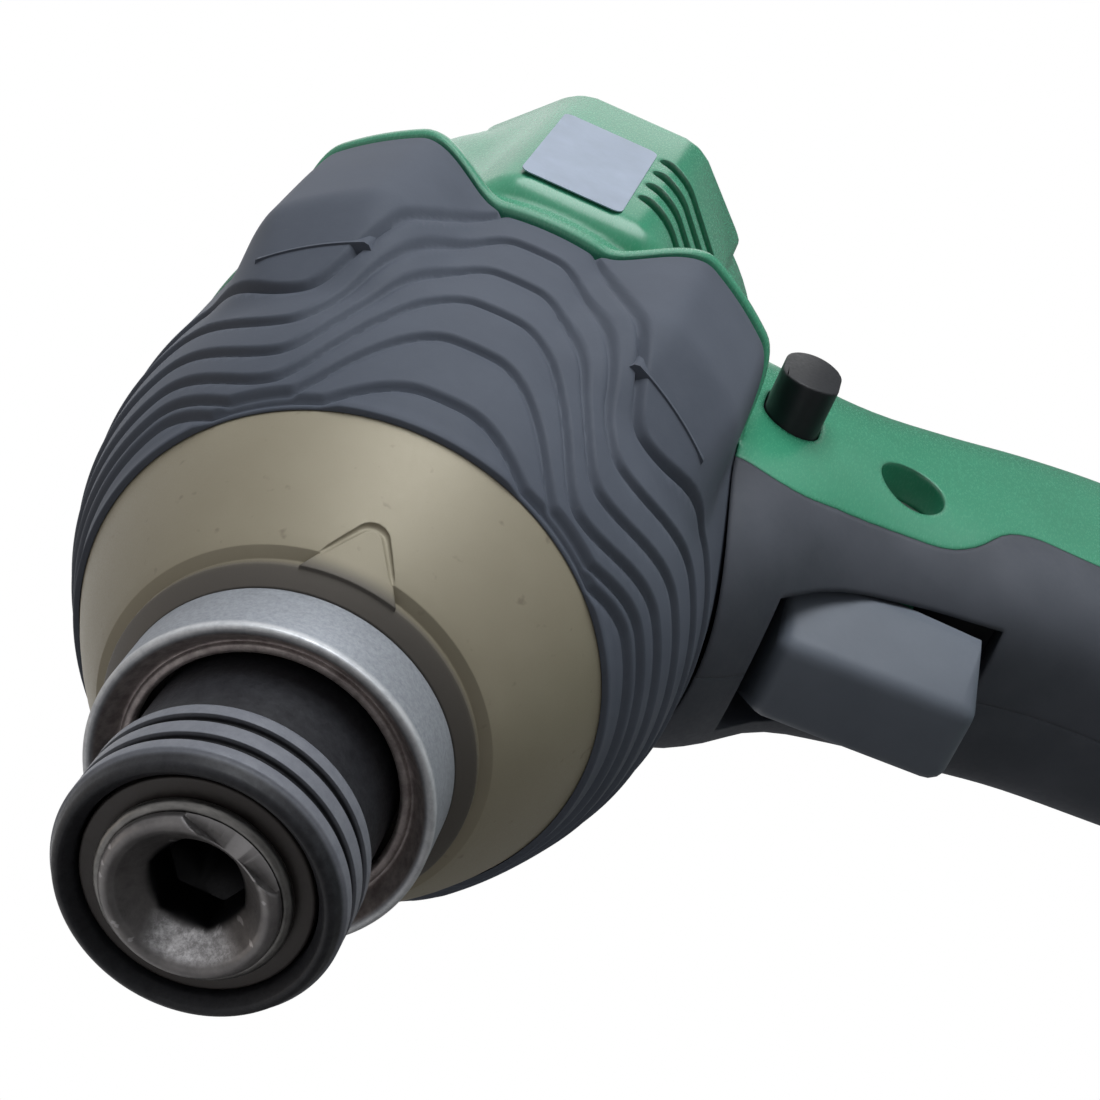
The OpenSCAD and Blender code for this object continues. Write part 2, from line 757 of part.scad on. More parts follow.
module rear_bearing() {
    color(steel) place() bearing(rear_bearing_rear, motor_bearing_w, shaft_r + seat, motor_bearing_r, 7);
}

module rotor_shaft() {
    color(steel) place() turned([[0, rear_bearing_rear], [shaft_r, rear_bearing_rear], [shaft_r, hub_rear - 0.2],
        [pinion_seat_r, hub_rear - 0.2], [pinion_seat_r, gear_front - 0.5], [0, gear_front - 0.5]]);
}

magnet_size = [11, 2.2];
magnet_r = 8.2;

module magnet_slots(grow) {
    for (i = [0:3]) rotate(90 * i) translate([0, magnet_r]) square(magnet_size + [grow, grow], center = true);
}

module rotor_core() {
    color(grey_plastic) place() facing_x(stator_rear) linear_extrude(stator_len) difference() {
        circle(r = rotor_r);
        circle(r = shaft_r + seat);
        magnet_slots(2 * fit);
    }
}

module rotor_magnets() {
    color(bare_metal) place() facing_x(stator_rear) linear_extrude(stator_len) magnet_slots(0);
}

module cooling_fan() {
    blades = 11;
    hub = 6;
    color(black_plastic) place() {
        tube(fan_front - 1.2, fan_front, shaft_r + seat, fan_r - 1.5);
        tube(fan_rear, fan_front - 1.2, shaft_r + seat, hub);
        facing_x(fan_rear) for (i = [0:blades - 1]) rotate(360 * i / blades) linear_extrude(fan_w - 1)
            translate([hub - 1, 0]) rotate(-28) square([fan_r - hub - 2, 1]);
    }
}

stator_slots = 6;
tooth_w = 7;
yoke = 3.6;

module stator_core() {
    color(steel) place() facing_x(stator_rear) linear_extrude(stator_len) {
        difference() {
            circle(r = stator_r);
            circle(r = stator_r - yoke);
        }
        for (i = [0:stator_slots - 1]) rotate(360 * i / stator_slots) difference() {
            union() {
                translate([stator_bore_r - 1, -tooth_w / 2]) square([stator_r - stator_bore_r - 1, tooth_w]);
                intersection() {
                    circle(r = stator_bore_r + 1.6);
                    translate([0, -5.6]) square([stator_r, 11.2]);
                }
            }
            circle(r = stator_bore_r);
        }
    }
}

module stator_windings() {
    turn_w = 2.1;
    half_w = tooth_w / 2 + turn_w;
    coil_in = stator_bore_r + 2.2;
    coil_out = sqrt(pow(stator_r - yoke, 2) - pow(half_w, 2)) - 0.3;
    span = stator_len + 2 * coil_overhang;
    color(copper) place() for (i = [0:stator_slots - 1]) rotate([360 * i / stator_slots, 0, 0]) difference() {
        translate([stator_rear - coil_overhang, coil_in, -half_w]) cube([span, coil_out - coil_in, 2 * half_w]);
        translate([stator_rear - 0.1, coil_in - 1, -tooth_w / 2 - 0.1]) cube([stator_len + 0.2, stator_r, tooth_w + 0.2]);
    }
}

module sensor_board() {
    color("#22553a") place() {
        tube(board_front - board_t, board_front, motor_bearing_r + 2.2, stator_r);
        for (a = [-60, 0, 60]) rotate([a, 0, 0]) translate([board_front - board_t - 0.4, -2, stator_bore_r + 3])
            cube([0.4, 4, 3]);
    }
}

// Housing

// Closed skin through rows of points, each row a convex outline
module loft(rows) {
    n = len(rows[0]);
    last = (len(rows) - 1) * n;
    skin = [for (i = [0:len(rows) - 2], j = [0:n - 1])
        let (k = (j + 1) % n, p = i * n, q = p + n)
        each [[p + j, q + k, q + j], [p + j, p + k, q + k]]];
    caps = [[for (j = [n - 1:-1:0]) j], [for (j = [0:n - 1]) last + j]];
    polyhedron([for (r = rows) each r], concat(skin, caps));
}

function head_row(s) = [for (p = superellipse(head_w / 2 * s[1], head_h / 2 * s[2], s[3])) [s[0], p[0], p[1]]];

module head_form(slices) {
    loft([for (s = slices) head_row(s)]);
}

// Level outline about [x, 0, z]
function level_row(x, z, half_l, half_w, n) = [for (p = superellipse(half_l, half_w, n)) [x + p[0], p[1], z]];

function handle_row(s, shrink) = level_row(palm_x + handle_lean * (s[0] + 60) + s[1], s[0],
    handle_depth / 2 * s[2] - shrink, handle_w / 2 * s[3] - shrink, s[4]);

function foot_row(s, shrink) = level_row(foot_x + s[1], s[0], foot_len / 2 - s[2] - shrink, foot_w / 2 - s[3] - shrink, s[4]);

module handle_form(shrink) {
    loft([for (s = handle_slices) handle_row(s, shrink)]);
}

module handle_and_foot() {
    loft(concat([for (s = handle_slices) handle_row(s, 0)], [for (s = foot_slices) foot_row(s, 0)]));
}

// Side view of the rubber grip: from the chin under the head down the front of the handle
module grip_region(grow) {
    rotate([90, 0, 0]) linear_extrude(80, center = true) offset(grow) offset(4) offset(-8) offset(4)
        polygon([[-56, -20], [-72, -22], [-72, -33], [-79, -38], [-79, -50], [-88, -55], [-88, -66], [-92, -96],
            [-100, -112], [-100, -126], [-88, -131], [-56, -131]]);
}

module trigger_opening() {
    w = trigger_w + 2 * free;
    translate([switch_front - 0.2, -w / 2, trigger_bottom - free]) cube([40, w, trigger_top - trigger_bottom + 2 * free]);
}

module reverse_bar(grow, reach) {
    half = (reverse_l - reverse_h) / 2;
    translate([reverse_x - half, -reach, reverse_z - reverse_h / 2 - grow]) cube([2 * half, 2 * reach, reverse_h + 2 * grow]);
    for (s = [-1, 1]) pin_y(reverse_x + s * half, reverse_z, reverse_h / 2 + grow, -reach, reach, $fn = 32);
}

module switch_block(grow) {
    translate([switch_front - switch_len - grow, -switch_w / 2 - grow, switch_top - switch_h - grow])
        cube([switch_len + 2 * grow, switch_w + 2 * grow, switch_h + 2 * grow]);
}

// Ribs that hold the switch across the handle
module switch_ribs() {
    for (z = [switch_top - 3, switch_top - switch_h + 1]) translate([-130, -30, z]) cube([70, 60, 2]);
}

// Slanted air slots in the flank and upright ones beside the fan
module vent_slots() {
    for (i = [0:3]) hull() for (p = [[-84 - 4.2 * i, -15], [-94 - 4.2 * i, -5]]) pin_y(p[0], p[1], 1.1, -60, 60, $fn = 12);
    for (i = [0:4]) hull() for (z = [-9, 9]) pin_y(fan_front + 1 - 2.1 * i, z, 0.55, -60, 60, $fn = 8);
}

module battery_slot(side_grow) {
    w = tongue_w / 2 + side_grow;
    translate([slot_rear - side_grow, -w, foot_bottom - 1]) cube([foot_len, 2 * w, tongue_h + free + 1]);
    translate([slot_rear - side_grow, -w - tongue_flange, foot_bottom + lip_h - free])
        cube([foot_len, 2 * (w + tongue_flange), tongue_h - lip_h + 2 * free]);
    for (s = [0, 1]) mirror([0, s, 0])
        translate([latch_x - tab_l / 2 - free, latch_in_y - latch_travel - free, foot_bottom - 1])
        cube([foot_len, tab_t + latch_travel + 2 * free, tab_rise + 1 + free]);
}

module on_slope(spot, tilt) {
    translate([spot[0], 0, spot[1]]) rotate([0, tilt, 0]) children();
}

module housing_solid() {
    difference() {
        union() {
            head_form(head_slices);
            handle_and_foot();
        }
        difference() {
            handle_form(wall);
            translate([-200, -50, -24]) cube([200, 100, 50]);
            switch_ribs();
            for (s = handle_screws) pin_y(s[0], s[1], 4.2, -50, 50);
            reverse_bar(wall, 40);
        }
        rod(stator_rear - 1, 0, motor_bore_r, $fn = 60);
        rod(cover_split - 5, stator_rear, motor_bore_r - 0.9, $fn = 48);
        protector_seat();
        rod(flange_x - 0.2, 0, 60);
        at_bosses(ear_place) rod(case_screw_rear - 1, 0, case_screw_r + 0.1);
        switch_block(fit);
        trigger_opening();
        reverse_bar(fit, 60);
        vent_slots();
        intersection() {
            grip_region(fit);
            difference() {
                handle_form(-1);
                handle_form(grip_t + 0.05);
            }
        }
        battery_slot(free);
        translate([controller_x, 0, controller_z + controller_size[2] / 2])
            cube(controller_size + [2 * fit, 2 * fit, 2 * fit], center = true);
        terminal_shell(fit);
        for (s = [-1, 1]) pin_y(insert_x, insert_z, insert_r + 0.1, s > 0 ? insert_y - insert_len - 0.1 : -60,
            s > 0 ? 60 : -insert_y + insert_len + 0.1);
        on_slope(panel_place, panel_tilt) {
            translate([0, 0, -panel_size[2] - 0.1]) linear_extrude(10) rounded_rect(panel_size[0] + 0.3, panel_size[1] + 0.3, 3);
            translate([0, 0, -panel_size[2] - button_travel - 2]) cylinder(r = button_r + 1, h = 6);
        }
        on_slope(lens_place, lens_tilt) translate([0, 0, -lens_depth - 0.1]) cylinder(r = lens_r + 0.1, h = 20);
        for (s = all_screws) {
            pin_y(s[0], s[1], screw_head_r + 0.3, s[2], 60);
            pin_y(s[0], s[1], screw_r + 0.1, s[2] - s[3] - 0.5, 60);
        }
    }
}

module half_space(side) {
    translate([-300, side > 0 ? 0 : -100, -400]) cube([400, 100, 500]);
}

module housing_left() {
    color(green) place() intersection() {
        housing_solid($fn = 20);
        half_space(1);
    }
}

module housing_right() {
    color(green) place() intersection() {
        housing_solid($fn = 20);
        half_space(-1);
    }
}

chin_r = head_w / 2 + 1.4;

// Slanted grooves pressed into the flanks of the grip
module grip_grooves() {
    for (s = [-1, 1], i = [0:6]) hull() for (k = [0, 1])
        translate([-84 - 1.4 * i + 9 * k, s * (handle_w / 2 + 0.2), -68 - 7.5 * i + 3 * k]) sphere(r = 1.1, $fn = 16);
}

module grip(side) {
    color(dark_rubber) place() difference() {
        intersection() {
            grip_region(0);
            difference() {
                handle_form(0);
                handle_form(grip_t);
            }
            half_space(side);
        }
        trigger_opening();
        rod(-140, 0, chin_r);
        grip_grooves();
        reverse_bar(free, 60);
        for (s = handle_screws) pin_y(s[0], s[1], screw_head_r + 0.3, 0, 60);
        translate([-200, -60, foot_bottom]) cube([400, 120, 27]);
    }
}

module grip_left() {
    grip(1, $fn = 24);
}

module grip_right() {
    grip(-1, $fn = 24);
}

module rear_cover() {
    spokes = 8;
    color(green) place() difference() {
        head_form(cover_slices);
        difference() {
            rod(rear_bearing_rear + 1, cover_split + 1, motor_bore_r - 2.2, $fn = 32);
            rod(-head_len, rear_bearing_front, motor_bearing_r + 2, $fn = 24);
            for (s = [-1, 1]) rotate([s * 45, 0, 0]) for (k = [-1, 1]) translate([0, 0, k * 18.6]) rod(-head_len, cover_split, 3.6, $fn = 16);
        }
        rod(rear_bearing_rear - 0.1, cover_split + 1, motor_bearing_r + 0.1, $fn = 48);
        for (i = [0:spokes - 1]) rotate([360 * i / spokes + 22.5, 0, 0]) hull() for (r = [12.5, 15.5])
            translate([0, 0, r]) rod(-head_len - 1, cover_split - 3, 1.3, $fn = 12);
        for (a = [45, -45, 135, -135]) rotate([a, 0, 0]) translate([0, 0, 18.6]) {
            rod(-head_len - 1, cover_split + 1, screw_r + 0.1, $fn = 16);
            rod(-head_len - 1, -head_len + 3.6, screw_head_r - 0.5, $fn = 20);
        }
    }
}

module cover_screws() {
    color(steel) place() for (a = [45, -45, 135, -135]) rotate([a, 0, 0]) translate([0, 0, 18.6]) {
        rod(-head_len + 1.6, -head_len + 3.55, screw_head_r - 0.7);
        rod(-head_len + 3, cover_split - 0.2, screw_r);
    }
}

module housing_screws() {
    color(steel) place() for (s = all_screws) translate([s[0], s[2] + seat, s[1]]) screw(s[3]);
}

// Controls

module trigger() {
    side_y = trigger_face / 2 - trigger_edge_r;
    body_h = trigger_top - trigger_bottom;
    face_x = trigger_tip - trigger_edge_r;
    skin = 2.4;
    ends = [[face_x, trigger_top - trigger_edge_r - 1],
        [face_x - trigger_rake, trigger_bottom + trigger_edge_r + trigger_toe]];
    color(grey_plastic) place() {
        difference() {
            hull() {
                for (e = ends, s = [-1, 1])
                    translate([e[0], s * side_y, e[1]]) sphere(r = trigger_edge_r, $fn = 20);
                translate([trigger_rear, -trigger_w / 2, trigger_bottom]) cube([trigger_base, trigger_w, body_h]);
            }
            translate([trigger_rear - 1, -trigger_w / 2 + skin, trigger_bottom + skin])
                cube([trigger_pocket + 1, trigger_w - 2 * skin, body_h - 2 * skin]);
        }
        translate([0, 0, plunger_z])
            rod(trigger_rear - trigger_travel - 7, trigger_rear + trigger_pocket + 1, plunger_r);
    }
}

module trigger_spring() {
    length = trigger_rear + trigger_pocket - switch_front - 0.3;
    color(steel) place() translate([0, 0, plunger_z]) facing_x(switch_front + 0.1) coil(3, 0.4, length, 5);
}

module switch_body() {
    color(black_plastic) place() difference() {
        switch_block(0);
        translate([0, 0, plunger_z]) rod(switch_front - 2 * trigger_travel - 4, switch_front + 1, plunger_r + 0.1);
        for (s = [-1, 1]) translate([switch_front - switch_len / 2, s * switch_w / 2, switch_top - switch_h / 2])
            cube([14, 1.2, 12], center = true);
    }
}

module reverse_button() {
    color(black_plastic) place() intersection() {
        reverse_bar(0, reverse_reach);
        translate([reverse_x, 0, reverse_z]) rotate([0, 90, 0]) cylinder(r = reverse_reach, h = 2 * reverse_l, center = true);
    }
}

module control_panel() {
    color(black_plastic) place() on_slope(panel_place, panel_tilt) translate([0, 0, -panel_size[2]]) difference() {
        linear_extrude(panel_size[2]) rounded_rect(panel_size[0], panel_size[1], 3);
        translate([0, 0, -1]) cylinder(r = button_r + fit, h = 5);
    }
}

module mode_button() {
    color(grey_plastic) place() on_slope(panel_place, panel_tilt) {
        translate([0, 0, -panel_size[2] - 0.6]) cylinder(r = button_r, h = panel_size[2] + 1.4);
        translate([0, 0, -panel_size[2] - 0.7]) cylinder(r = button_r + 0.7, h = 0.6);
    }
}

module light_lens() {
    color("white") place() on_slope(lens_place, lens_tilt) translate([0, 0, -lens_depth]) {
        cylinder(r = lens_r, h = lens_depth - 0.6);
        translate([0, 0, lens_depth - 0.6]) cylinder(r1 = lens_r, r2 = lens_r - 1, h = 0.8);
    }
}

// Foot

module controller() {
    color(black_plastic) place() translate([controller_x, 0, controller_z + controller_size[2] / 2]) cube(controller_size, center = true);
}

terminal_l = 11;
module terminal_shell(grow) {
    translate([slot_rear - free - 0.05 - terminal_l - grow, -20 - grow, foot_bottom + 1.4 - grow])
        cube([terminal_l + 2 * grow, 40 + 2 * grow, 10 + 2 * grow]);
}

module blades(grow, front) {
    for (y = blade_y) translate([slot_rear - 3, y - 0.4 - grow, foot_bottom + 2 - grow])
        cube([front - slot_rear + 3 + grow, 0.8 + 2 * grow, 5.2 + 2 * grow]);
}

module terminal_block() {
    color(grey_plastic) place() {
        terminal_shell(0);
        blades(0, slot_rear + 12);
    }
}

module hook_inserts() {
    color(copper) place() for (s = [0, 1]) mirror([0, s, 0]) difference() {
        pin_y(insert_x, insert_z, insert_r, insert_y - insert_len, insert_y);
        pin_y(insert_x, insert_z, insert_hole_r, insert_y - insert_len - 1, insert_y + 1);
    }
}

// Battery

pack_corner = 9;

// Level outline of the battery drawn in by inset
function pack_row(z, inset) = [for (c = [0:3], i = [0:6]) let (a = 90 * c + 15 * i, r = pack_corner - inset / 2,
    sx = c == 0 || c == 3 ? 1 : -1, sy = c < 2 ? 1 : -1)
    [pack_x + sx * (pack_l / 2 - inset - r) + r * cos(a), sy * (pack_w / 2 - inset - r) + r * sin(a), z]];

module bay(bottom, top) {
    translate([pack_x - bay_l / 2, -bay_w / 2, bottom]) cube([bay_l, bay_w, top - bottom]);
}

pack_screw_places = [for (x = [pack_x - bay_l / 2 - 3.6, pack_x + bay_l / 2 + 3.6], y = [-24, 24]) [x, y]];
pack_screw_rise = 12;

module battery_lower() {
    color(black_plastic) place() difference() {
        loft([pack_row(pack_split, 0), pack_row(pack_bottom + 2.4, 0), pack_row(pack_bottom + 0.7, 0.7),
            pack_row(pack_bottom, 2.4)]);
        bay(cell_floor - 0.2, pack_split + 1);
        for (p = pack_screw_places) translate([p[0], p[1], pack_bottom - 1]) {
            cylinder(r = screw_r + 0.2, h = pack_h);
            cylinder(r = screw_head_r - 0.4, h = 15);
        }
        for (s = [-1, 1], i = [0:4]) translate([pack_x - 32 + 16 * i, s * pack_w / 2, pack_bottom + 15])
            cube([8, 1.6, 16], center = true);
    }
}

module battery_upper() {
    color(black_plastic) place() difference() {
        union() {
            loft([pack_row(pack_top, 4), pack_row(pack_top - 1.2, 1.2), pack_row(pack_top - 4, 0), pack_row(pack_split, 0)]);
            translate([slot_rear, -tongue_w / 2, pack_top - 1]) cube([foot_front - slot_rear - 6, tongue_w, tongue_h + pack_gap + 1]);
            translate([slot_rear, -tongue_w / 2 - tongue_flange, foot_bottom + lip_h])
                cube([foot_front - slot_rear - 6, tongue_w + 2 * tongue_flange, tongue_h - lip_h]);
        }
        bay(pack_split - 1, bay_top);
        blades(0.5, slot_rear + 14);
        translate([0, 0, -pack_gap]) blades(0.5, slot_rear + 14);
        for (p = pack_screw_places) translate([p[0], p[1], pack_split - 1]) cylinder(r = screw_r + 0.1, h = pack_screw_rise + 1.4);
        for (s = [0, 1]) mirror([0, s, 0]) {
            translate([latch_x - latch_l / 2 - 0.3, latch_pocket_y, latch_z - latch_h / 2 - 0.3])
                cube([latch_l + 0.6, pack_w, latch_h + 0.6]);
            translate([latch_x - tab_l / 2 - 0.3, latch_in_y - latch_travel - 0.3, latch_z])
                cube([tab_l + 0.6, tab_t + latch_travel + 0.6, 20]);
        }
    }
}

module battery_cells() {
    color("#4f7fae") place() for (i = [0:cells_per_row - 1], k = [0:cell_rows - 1])
        pin_y(pack_x + (i - (cells_per_row - 1) / 2) * cell_pitch_x, cell_floor + cell_d / 2 + k * cell_pitch_z,
            cell_d / 2, -cell_len / 2, cell_len / 2);
}

module battery_board() {
    color("#22553a") place() {
        translate([pack_x - bay_l / 2 + 0.2, -22, bay_top - 1.8]) cube([bay_l - 0.4, 44, 1.6]);
        for (y = blade_y, s = [-1, 1]) translate([slot_rear + 15, y - 1 + 2 * s - 0.5, bay_top - 2.8]) cube([6, 2, 1]);
    }
}

module battery_screws() {
    head_z = pack_bottom + 14;
    color(steel) place() for (p = pack_screw_places) translate([p[0], p[1], head_z]) {
        translate([0, 0, -screw_head_h - seat]) cylinder(r = screw_head_r - 0.6, h = screw_head_h);
        translate([0, 0, -1]) cylinder(r = screw_r, h = pack_split - head_z + pack_screw_rise);
    }
}

module battery_latch(side) {
    color(grey_plastic) place() mirror([0, side < 0 ? 1 : 0, 0]) {
        translate([latch_x - latch_l / 2, latch_in_y, latch_z - latch_h / 2]) cube([latch_l, latch_depth - 1, latch_h]);
        translate([latch_x, latch_in_y + latch_depth - 1, latch_z]) hull() {
            translate([0, eps / 2, 0]) cube([latch_l, eps, latch_h], center = true);
            translate([0, 1 - eps / 2, 0]) cube([latch_l - 2, eps, latch_h - 2], center = true);
        }
        translate([latch_x - tab_l / 2, latch_in_y, latch_z]) cube([tab_l, tab_t, pack_top - latch_z + pack_gap + tab_rise]);
    }
}

module battery_latch_left() {
    battery_latch(1);
}

module battery_latch_right() {
    battery_latch(-1);
}

module latch_springs() {
    color(steel) place() for (s = [-1, 1]) translate([latch_x, s * (latch_pocket_y + 0.1), latch_z])
        rotate([-90 * s, 0, 0]) coil(3, 0.35, latch_in_y - latch_pocket_y - 0.2, 2.5);
}

anvil();
retaining_ring();
stop_washer();
bit_sleeve();
sleeve_spring();
detent_ball_top();
detent_ball_bottom();
nose_ring();
hammer_case();
case_bush();
anvil_washer();
hammer();
hammer_spring();
spring_washer();
cam_balls();
spindle();
planet_pins();
planet_gear_top();
planet_gear_bottom();
ring_gear();
gear_cover();
spindle_bearing();
sun_pinion();
rotor_shaft();
rotor_core();
rotor_magnets();
cooling_fan();
stator_core();
stator_windings();
sensor_board();
front_bearing();
rear_bearing();
case_screws();
front_protector();
housing_left();
housing_right();
rear_cover();
cover_screws();
housing_screws();
grip_left();
grip_right();
trigger();
trigger_spring();
switch_body();
reverse_button();
control_panel();
mode_button();
light_lens();
controller();
terminal_block();
hook_inserts();
battery_upper();
battery_lower();
battery_cells();
battery_board();
battery_screws();
battery_latch_left();
battery_latch_right();
latch_springs();
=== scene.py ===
import json
import math

import bpy
import numpy as np
from mathutils import Matrix, Vector

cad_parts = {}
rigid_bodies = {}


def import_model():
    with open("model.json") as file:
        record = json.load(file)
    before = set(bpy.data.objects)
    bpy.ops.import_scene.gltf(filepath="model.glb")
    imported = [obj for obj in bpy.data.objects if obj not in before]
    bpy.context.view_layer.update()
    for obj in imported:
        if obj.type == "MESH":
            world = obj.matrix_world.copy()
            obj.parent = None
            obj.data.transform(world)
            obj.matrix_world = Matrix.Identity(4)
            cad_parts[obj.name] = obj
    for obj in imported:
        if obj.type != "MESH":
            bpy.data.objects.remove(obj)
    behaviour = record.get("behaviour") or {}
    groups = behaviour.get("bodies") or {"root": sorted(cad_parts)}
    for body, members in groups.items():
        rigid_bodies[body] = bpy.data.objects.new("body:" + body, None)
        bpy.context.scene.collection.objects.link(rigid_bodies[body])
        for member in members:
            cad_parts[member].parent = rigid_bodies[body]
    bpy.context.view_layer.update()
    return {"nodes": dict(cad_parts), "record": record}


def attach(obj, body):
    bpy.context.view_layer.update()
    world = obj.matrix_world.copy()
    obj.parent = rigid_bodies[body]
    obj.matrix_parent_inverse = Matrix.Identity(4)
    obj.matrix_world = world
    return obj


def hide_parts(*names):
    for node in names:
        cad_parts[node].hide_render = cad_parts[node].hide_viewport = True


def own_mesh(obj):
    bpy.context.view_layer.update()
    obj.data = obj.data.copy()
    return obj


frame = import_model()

nodes = frame["nodes"]
MM = 0.001
# The anvil tip on the drive axis, in the row frame
NOSE = Vector((0.071, 0.0, 0.219))


def tool(x, y, z):
    """A point given in millimetres from the anvil tip."""
    return (NOSE.x + x * MM, y * MM, NOSE.z + z * MM)


def deselect():
    """Back to object mode with nothing selected."""
    if bpy.context.object and bpy.context.object.mode != "OBJECT":
        bpy.ops.object.mode_set(mode="OBJECT")
    bpy.ops.object.select_all(action="DESELECT")


def pick(piece):
    """One piece selected and active, in object mode."""
    deselect()
    piece.select_set(True)
    bpy.context.view_layer.objects.active = piece


def edit_all(piece):
    """Into edit mode on one piece with all of it selected."""
    pick(piece)
    bpy.ops.object.mode_set(mode="EDIT")
    bpy.ops.mesh.select_all(action="SELECT")


def settle(piece):
    """Puts the piece's place into its mesh."""
    pick(piece)
    bpy.ops.object.transform_apply(location=True, rotation=True, scale=True)


def shade(piece, crease=32):
    """Smooth shading, with edges sharper than the crease angle kept."""
    pick(piece)
    bpy.ops.object.shade_smooth_by_angle(angle=math.radians(crease))


def dress(piece, finish, body, slot, *replaced):
    """Gives a piece its finish, the body it rides on and the CAD nodes it stands for."""
    piece.data.materials.clear()
    piece.data.materials.append(finish)
    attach(piece, body)
    if replaced:
        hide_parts(*replaced)
    return piece


def rounded(profile, closed=True, steps=4):
    """Corners of a profile of (x, radius, corner size) stations, each rounded by its own size."""
    count = len(profile)
    out = []
    for i, (x, r, size) in enumerate(profile):
        here = np.array((x, r), float)
        if size <= 0 or (not closed and i in (0, count - 1)):
            out.append((x, r))
            continue
        before = np.array(profile[i - 1][:2], float) - here
        after = np.array(profile[(i + 1) % count][:2], float) - here
        reach = min(size, 0.49 * np.hypot(*before), 0.49 * np.hypot(*after))
        a = here + before / np.hypot(*before) * reach
        b = here + after / np.hypot(*after) * reach
        for k in range(steps + 1):
            t = k / steps
            out.append(tuple((1 - t) ** 2 * a + 2 * t * (1 - t) * here + t * t * b))
    return out


def turned(name, profile, around=160):
    """Ring turned round the drive axis: one circle, extruded from station to station, then bridged."""
    stations = rounded(profile)
    deselect()
    x, r = stations[0]
    bpy.ops.mesh.primitive_circle_add(vertices=around, radius=r * MM, location=tool(x, 0, 0),
                                      rotation=(0, math.pi / 2, 0))
    piece = bpy.context.object
    piece.name = name
    settle(piece)
    edit_all(piece)
    for (x0, r0), (x1, r1) in zip(stations, stations[1:]):
        bpy.ops.mesh.extrude_edges_move(TRANSFORM_OT_translate={"value": ((x1 - x0) * MM, 0, 0)})
        bpy.ops.transform.resize(value=(1, r1 / r0, r1 / r0), center_override=tool(x1, 0, 0))
    bpy.ops.mesh.select_all(action="DESELECT")
    bpy.ops.mesh.select_non_manifold()
    bpy.ops.mesh.bridge_edge_loops()
    bpy.ops.mesh.select_all(action="SELECT")
    bpy.ops.mesh.normals_make_consistent(inside=False)
    shade(piece)
    return piece


def bent_ring(name, angles, xs, rs, crease):
    """A grid bent into a closed ring round the axis: rows of stations and radii, a column for each angle."""
    rows, columns = xs.shape
    deselect()
    bpy.ops.mesh.primitive_grid_add(x_subdivisions=columns, y_subdivisions=rows, size=1)
    piece = bpy.context.object
    piece.name = name
    xs, rs = np.pad(xs, ((0, 1), (0, 1)), mode="wrap"), np.pad(rs, ((0, 1), (0, 1)), mode="wrap")
    turn = np.radians(np.append(angles, angles[0]))
    points = np.stack((NOSE.x + xs * MM, rs * np.cos(turn) * MM, NOSE.z + rs * np.sin(turn) * MM), axis=-1)
    piece.data.vertices.foreach_set("co", points.astype(np.float32).ravel())
    piece.data.update()
    edit_all(piece)
    bpy.ops.mesh.remove_doubles(threshold=4e-6)
    bpy.ops.mesh.dissolve_degenerate(threshold=2e-6)
    bpy.ops.mesh.select_all(action="SELECT")
    bpy.ops.mesh.normals_make_consistent(inside=False)
    shade(piece, crease)
    return piece


def smooth_copy(node, name, crease=32, bevel=0.0):
    """A copy of a CAD node with its triangles merged, its small edges rounded and its facets smoothed."""
    pick(nodes[node])
    bpy.ops.object.duplicate()
    piece = bpy.context.object
    piece.name = name
    piece.parent = None
    for key in [k for k in piece.keys() if k.startswith("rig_")]:
        del piece[key]
    bpy.ops.mesh.customdata_custom_splitnormals_clear()
    edit_all(piece)
    bpy.ops.mesh.remove_doubles(threshold=2e-6)
    bpy.ops.mesh.dissolve_limited(angle_limit=math.radians(0.5))
    bpy.ops.object.mode_set(mode="OBJECT")
    if bevel:
        edge = piece.modifiers.new("edge", "BEVEL")
        edge.width = bevel * MM
        edge.segments = 3
        edge.limit_method = "ANGLE"
        edge.angle_limit = math.radians(crease + 8)
        edge.use_clamp_overlap = True
        bpy.ops.object.modifier_apply(modifier="edge")
    shade(piece, crease)
    return piece


def along_axis(tree):
    """Place along the axis, distance from it, left and up, in metres from the anvil tip."""
    place = tree.nodes.new("ShaderNodeTexCoord")
    from_tip = tree.nodes.new("ShaderNodeVectorMath")
    from_tip.operation = "SUBTRACT"
    from_tip.inputs[1].default_value = NOSE
    tree.links.new(place.outputs["Object"], from_tip.inputs[0])
    flat = tree.nodes.new("ShaderNodeVectorMath")
    flat.operation = "MULTIPLY"
    flat.inputs[1].default_value = (0, 1, 1)
    tree.links.new(from_tip.outputs["Vector"], flat.inputs[0])
    span = tree.nodes.new("ShaderNodeVectorMath")
    span.operation = "LENGTH"
    tree.links.new(flat.outputs["Vector"], span.inputs[0])
    split = tree.nodes.new("ShaderNodeSeparateXYZ")
    tree.links.new(from_tip.outputs["Vector"], split.inputs["Vector"])
    return split.outputs["X"], span.outputs["Value"], split.outputs["Y"], split.outputs["Z"]


def between(tree, value, low, high):
    """0 below low, 1 above high, in millimetres, smooth between."""
    step = tree.nodes.new("ShaderNodeMapRange")
    step.interpolation_type = "SMOOTHSTEP"
    step.inputs["From Min"].default_value = min(low, high) * MM
    step.inputs["From Max"].default_value = max(low, high) * MM
    if low > high:
        step.inputs["To Min"].default_value = 1.0
        step.inputs["To Max"].default_value = 0.0
    tree.links.new(value, step.inputs["Value"])
    return step.outputs["Result"]


def both(tree, first, second):
    """Product of two masks."""
    joined = tree.nodes.new("ShaderNodeMath")
    joined.operation = "MULTIPLY"
    tree.links.new(first, joined.inputs[0])
    tree.links.new(second, joined.inputs[1])
    return joined.outputs["Value"]


